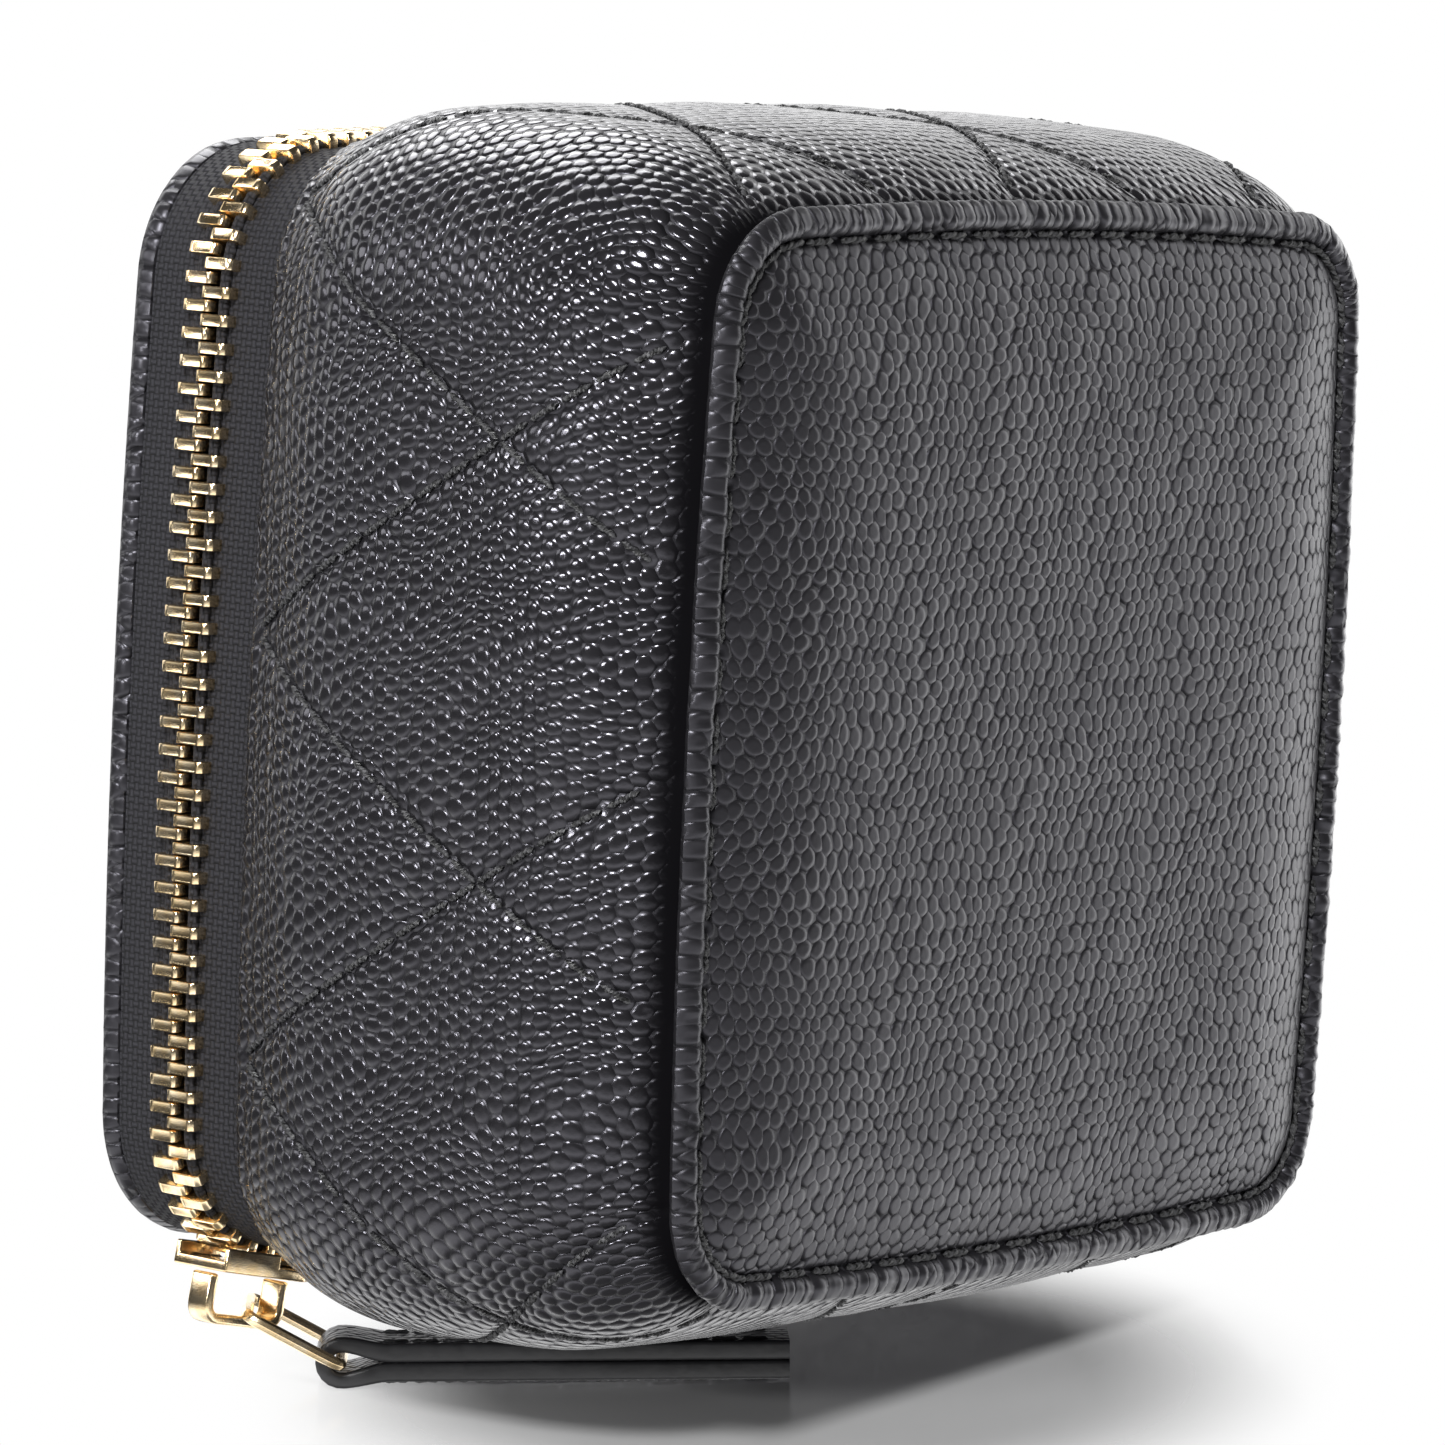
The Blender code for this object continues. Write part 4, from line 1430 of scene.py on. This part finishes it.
@dataclass
class Interior:
    """Lining, floor pad, ring rolls and divider inside the body, and the lid's lining."""

    lining_outer: float = -6.4 * MM
    lining_inner: float = -7.4 * MM
    lining_foot: float = 4.2 * MM
    lining_top: float = 50.0 * MM
    lip_outer: float = -4.65 * MM
    lip_depth: float = 0.6 * MM
    lining_round: float = 0.25 * MM
    lining_columns: int = 240
    rolls: int = 4
    roll_fill: float = 0.8
    roll_columns: int = 48
    roll_rows: int = 80
    roll_cap: float = 0.94
    gather_at: float = 0.9
    gather_span: float = 0.1
    gather_power: float = 2.6
    pleats: int = 12
    pleat_depth: float = 0.03
    slack: float = 0.012
    pad_rim: float = 0.12
    pad_draw: float = 0.35
    pad_columns: int = 192
    pad_rings: int = 16
    divider_round: float = 0.9 * MM
    divider_fill: float = 0.5

    def wall_lining(self) -> BMesh:
        """The lining, its upper edge turned out over the board."""
        foot, top = self.lining_foot, self.lining_top
        lip = top - self.lip_depth
        section = ((self.lining_outer, foot), (self.lining_outer, lip), (self.lip_outer, lip),
                   (self.lip_outer, top), (self.lining_inner, top), (self.lining_inner, foot))
        return section_sheet(self.lining_columns, rounded(section, self.lining_round), (0.0, ROUTE.length))

    def pad(self, name: str, node: str, body: Body, crown: float) -> None:
        """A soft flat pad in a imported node's place.

        Args:
            name: The piece's name.
            node: The node that it stands for.
            body: The body that carries it.
            crown: How far its face swells towards the space inside.
        """
        low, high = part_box(node)
        inset = high[0] - ROUTE.half
        thick, middle = high[2] - low[2], (low[2] + high[2]) / 2
        swell_side = 1.0 if body is Body.CASE else -1.0
        rim = self.pad_rim

        def place(u: float, v: float) -> Vector:
            """A point from the middle of one face round the edge to the middle of the other."""
            t = abs(2 * v - 1)
            share = (1 - t) / (1 - rim) if t > rim else 1.0
            drawn_in = 1 - math.sqrt(max(0.0, 1 - (t / rim) ** 2)) if t < rim else 0.0
            spot = ROUTE.point(ROUTE.length * u, inset - thick * self.pad_draw * drawn_in, 0.0) * min(1.0, share)
            side = 1.0 if v >= 0.5 else -1.0
            rise = thick / 2 * min(1.0, t / rim)
            if side == swell_side:
                rise += crown * (1 - min(1.0, share) ** 4) * min(1.0, (1 - t) / rim)
            return Vector((spot.x, spot.y, middle + side * rise))

        bm = sheet(self.pad_columns, 2 * self.pad_rings, place)
        dress(name, bm, LINING, body, node)

    def roll(self, number: int) -> None:
        """One stuffed roll with gathered ends."""
        node = f"ring_roll_{number}"
        low, high = (Vector(corner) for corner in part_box(node))
        middle = (low + high) / 2
        radius = (high.z - low.z) / 2
        half = (high.x - low.x) / 2

        def place(u: float, v: float) -> Vector:
            """A point round and along the roll."""
            along = 2 * v - 1
            x = math.sin(math.pi * (v - 0.5)) if abs(along) > self.roll_cap else along
            end = max(0.0, (abs(along) - self.gather_at) / self.gather_span)
            pinch = math.sqrt(max(0.0, 1 - end**self.gather_power))
            turn = 2 * math.pi * u
            pleat = 1 - self.pleat_depth * end * math.cos(self.pleats * turn)
            slack = 1 - self.slack * math.sin(7 * v + number) ** 2
            reach = radius * pinch * pleat * slack
            return Vector((x * half, middle.y + reach * math.cos(turn), middle.z + reach * math.sin(turn)))

        bm = sheet(self.roll_columns, self.roll_rows, place)
        dress(f"ring_roll_soft_{number}", bm, LINING, Body.CASE, node)

    def divider(self) -> None:
        """The covered divider, softened along its edges."""
        bm = softened_copy("divider", self.divider_round, 4)
        dress("divider_soft", bm, LINING, Body.CASE, "divider", sharp=60.0)

    def build(self) -> None:
        """Makes everything inside."""
        dress("wall_lining_soft", self.wall_lining(), LINING, Body.CASE, "wall_lining")
        self.pad("floor_pad_soft", "floor_pad", Body.CASE, 0.25 * MM)
        self.pad("lid_lining_soft", "lid_lining", Body.LID, 0.1 * MM)
        for number in range(1, self.rolls + 1):
            self.roll(number)
        self.divider()
        for node in ("base_board", "wall_board", "lid_board"):
            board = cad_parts[node]
            board.data.materials.clear()
            board.data.materials.append(BOARD.material())


# Studio


@dataclass
class Studio:
    """Camera, lights, background and the pale surface that the case lies on."""

    eye: Vector = field(default_factory=lambda: Vector((-544.59, -69.5, -401.16)) * MM)
    right: Vector = field(default_factory=lambda: Vector((0.63032, -0.04985, -0.77473)))
    down: Vector = field(default_factory=lambda: Vector((-0.04764, 0.99357, -0.10269)))
    forward: Vector = field(default_factory=lambda: Vector((0.77487, 0.10163, 0.62389)))
    lens: float = 187.4
    sensor: float = 36.0
    middle: Vector = field(default_factory=lambda: Vector((0.0, 0.0, 35.0)) * MM)
    room: float = 0.045
    backdrop: float = 1.4
    backdrop_rise: Pair = (0.5, 0.95)
    backdrop_foot: Pair = (0.0, 0.2)
    bounce: float = 1.9
    bounce_rise: Pair = (0.1, 0.6)
    bounce_foot: Pair = (0.55, 0.92)
    bounce_loss: float = 0.9
    floor_half: float = 0.9
    floor_gloss: float = 0.17

    def camera(self) -> None:
        """The photograph's viewpoint."""
        data = bpy.data.cameras.new("photo_camera")
        data.sensor_width, data.lens = self.sensor, self.lens
        data.clip_start, data.clip_end = 0.01, 10.0
        turn = axes(self.right, -self.down, -self.forward)
        bpy.context.scene.camera = add_object("photo_camera", data, Matrix.Translation(self.eye) @ turn)

    def light(self, name: str, place: Vector, size: Pair, power: float) -> None:
        """One soft light aimed at the case.

        Args:
            name: The light's name.
            place: Where it stands.
            size: Its two sides.
            power: Its power in watts.
        """
        data = bpy.data.lights.new(name, "AREA")
        data.shape = "RECTANGLE"
        data.size, data.size_y = size
        data.energy = power
        turn = (self.middle - place).to_track_quat("-Z", "Y").to_matrix().to_4x4()
        add_object(name, data, Matrix.Translation(place) @ turn)

    def world(self) -> None:
        """White behind the case; its light comes from the pale backdrop, the pale floor and a dim room."""
        world = bpy.data.worlds.new("studio")
        bpy.context.scene.world = world
        world.use_nodes = True
        graph = Graph.of_tree(world.node_tree)
        way = graph.node("ShaderNodeTexCoord", output="Generated")
        ahead, below = (graph.node("ShaderNodeVectorMath", {"operation": "DOT_PRODUCT"}, {0: way, 1: towards}, 1)
                        for towards in (self.forward, self.down))
        behind = ahead.step(*self.backdrop_rise) * (1.0 - below.step(*self.backdrop_foot))
        beside = below.step(*self.bounce_rise) * (1.0 - below.step(*self.bounce_foot) * self.bounce_loss)
        glow = behind * self.backdrop + beside * self.bounce + self.room
        pale = (1.0, 1.0, 1.0, 1.0)
        dim, white = (graph.node("ShaderNodeBackground", None, {"Color": pale, "Strength": strength})
                      for strength in (glow, 1.0))
        seen = graph.node("ShaderNodeLightPath", output="Is Camera Ray")
        mixed = graph.node("ShaderNodeMixShader", None, {0: seen, 1: dim, 2: white})
        graph.put(graph.tree.nodes["World Output"], {"Surface": mixed})

    def floor(self, name: str, corner: Vector, across: Vector, away: Vector, reach: Pair,
              shade: float) -> None:
        """A pale floor that fades into the background and shows from its upper side only.

        Args:
            name: The floor's name.
            corner: The point under the case.
            across: One direction along the floor.
            away: The other, so that across x away points up.
            reach: Where the floor starts to fade and where it is clear.
            shade: How pale it is.
        """
        bm = bmesh.new()
        bmesh.ops.create_grid(bm, x_segments=8, y_segments=8, size=self.floor_half)
        normal = across.cross(away).normalized()
        turn = axes(across.normalized(), normal.cross(across).normalized(), normal)
        mesh = mesh_of(name, bm)
        mesh.materials.append(self.floor_material(name, reach, shade))
        made = add_object(name, mesh, Matrix.Translation(corner) @ turn)
        made.visible_diffuse = made.visible_glossy = made.visible_shadow = False
        made.visible_transmission = False

    def floor_material(self, name: str, reach: Pair, shade: float) -> Material:
        """White with a soft reflection, clear from below and beyond its reach."""
        graph = Graph(name)
        graph.put(graph.surface, {
            "Base Color": (shade, shade, shade, 1.0), "Roughness": self.floor_gloss, "Specular IOR Level": 1.0})
        plain = graph.coordinates((1.0, 1.0, 1.0))
        length = graph.node("ShaderNodeVectorMath", {"operation": "LENGTH"}, {0: plain}, 1)
        fade = length.step(*reach)
        under = graph.node("ShaderNodeNewGeometry", output="Backfacing")
        hidden = graph.node("ShaderNodeMath", {"operation": "MAXIMUM"}, {0: fade, 1: under})
        clear = graph.node("ShaderNodeBsdfTransparent")
        graph.finish(1.0 - hidden, clear)
        return graph.material

    def build(self) -> None:
        """Sets the camera, the lights, the world and both floors."""
        self.camera()
        self.world()
        for name, place, size, power in (
            ("overhead_softbox", (0.26, -0.70, 0.50), (0.6, 0.5), 7.4),
            ("right_softbox", (0.90, -0.08, -0.16), (1.1, 0.9), 6.8),
            ("left_softbox", (-0.66, -0.28, 0.64), (0.30, 0.5), 2.1),
            ("left_strip", (-0.92, -0.16, 0.12), (0.08, 0.24), 4.0),
            ("front_strip", (-0.755, -0.567, -0.294), (0.15, 0.20), 12.0),
            ("top_softbox", (0.1, -0.2, 0.9), (0.7, 0.7), 2.0),
        ):
            self.light(name, Vector(place), size, power)
        rest = Vector((-34.3, 62.7, 50.8)) * MM
        self.floor("floor_under_back", rest + Vector((0.026, -0.0028, -0.032)), Vector((1.0, -0.105, 0.0)),
                   Vector((0.0, -0.003, 1.0)), (0.026, 0.052), 0.42)
        self.floor("floor_under_base", Vector((0.0, 0.0, -0.0016)), Vector((1.0, 0.0, 0.0)), Vector((0.0, 1.0, 0.0)),
                   (0.06, 0.14), 0.8)
        bpy.context.scene.view_settings.view_transform = "Standard"


def main() -> None:
    """Builds the sub-assemblies in order."""
    logging.basicConfig(level=logging.INFO, format="%(message)s")
    Studio().build()
    QuiltedWall().build()
    EdgedPanel("base", edge=-2.5 * MM, outer=0.0, inner=2.4 * MM, stitch_in=3.0 * MM, finish=BASE_LEATHER,
               body=Body.CASE, node="base_panel", sink=0.6 * MM, swell=1.5 * MM, pull=0.10 * MM).build()
    EdgedPanel("lid", edge=0.0, outer=67.4 * MM, inner=64.9 * MM, stitch_in=3.4 * MM, finish=LID_LEATHER,
               body=Body.LID, node="lid_panel", crown=0.6 * MM).build()
    Zip().build()
    Slider().build()
    PullStrap().build()
    Hinge().build()
    Interior().build()


if __name__ == "__main__":
    main()
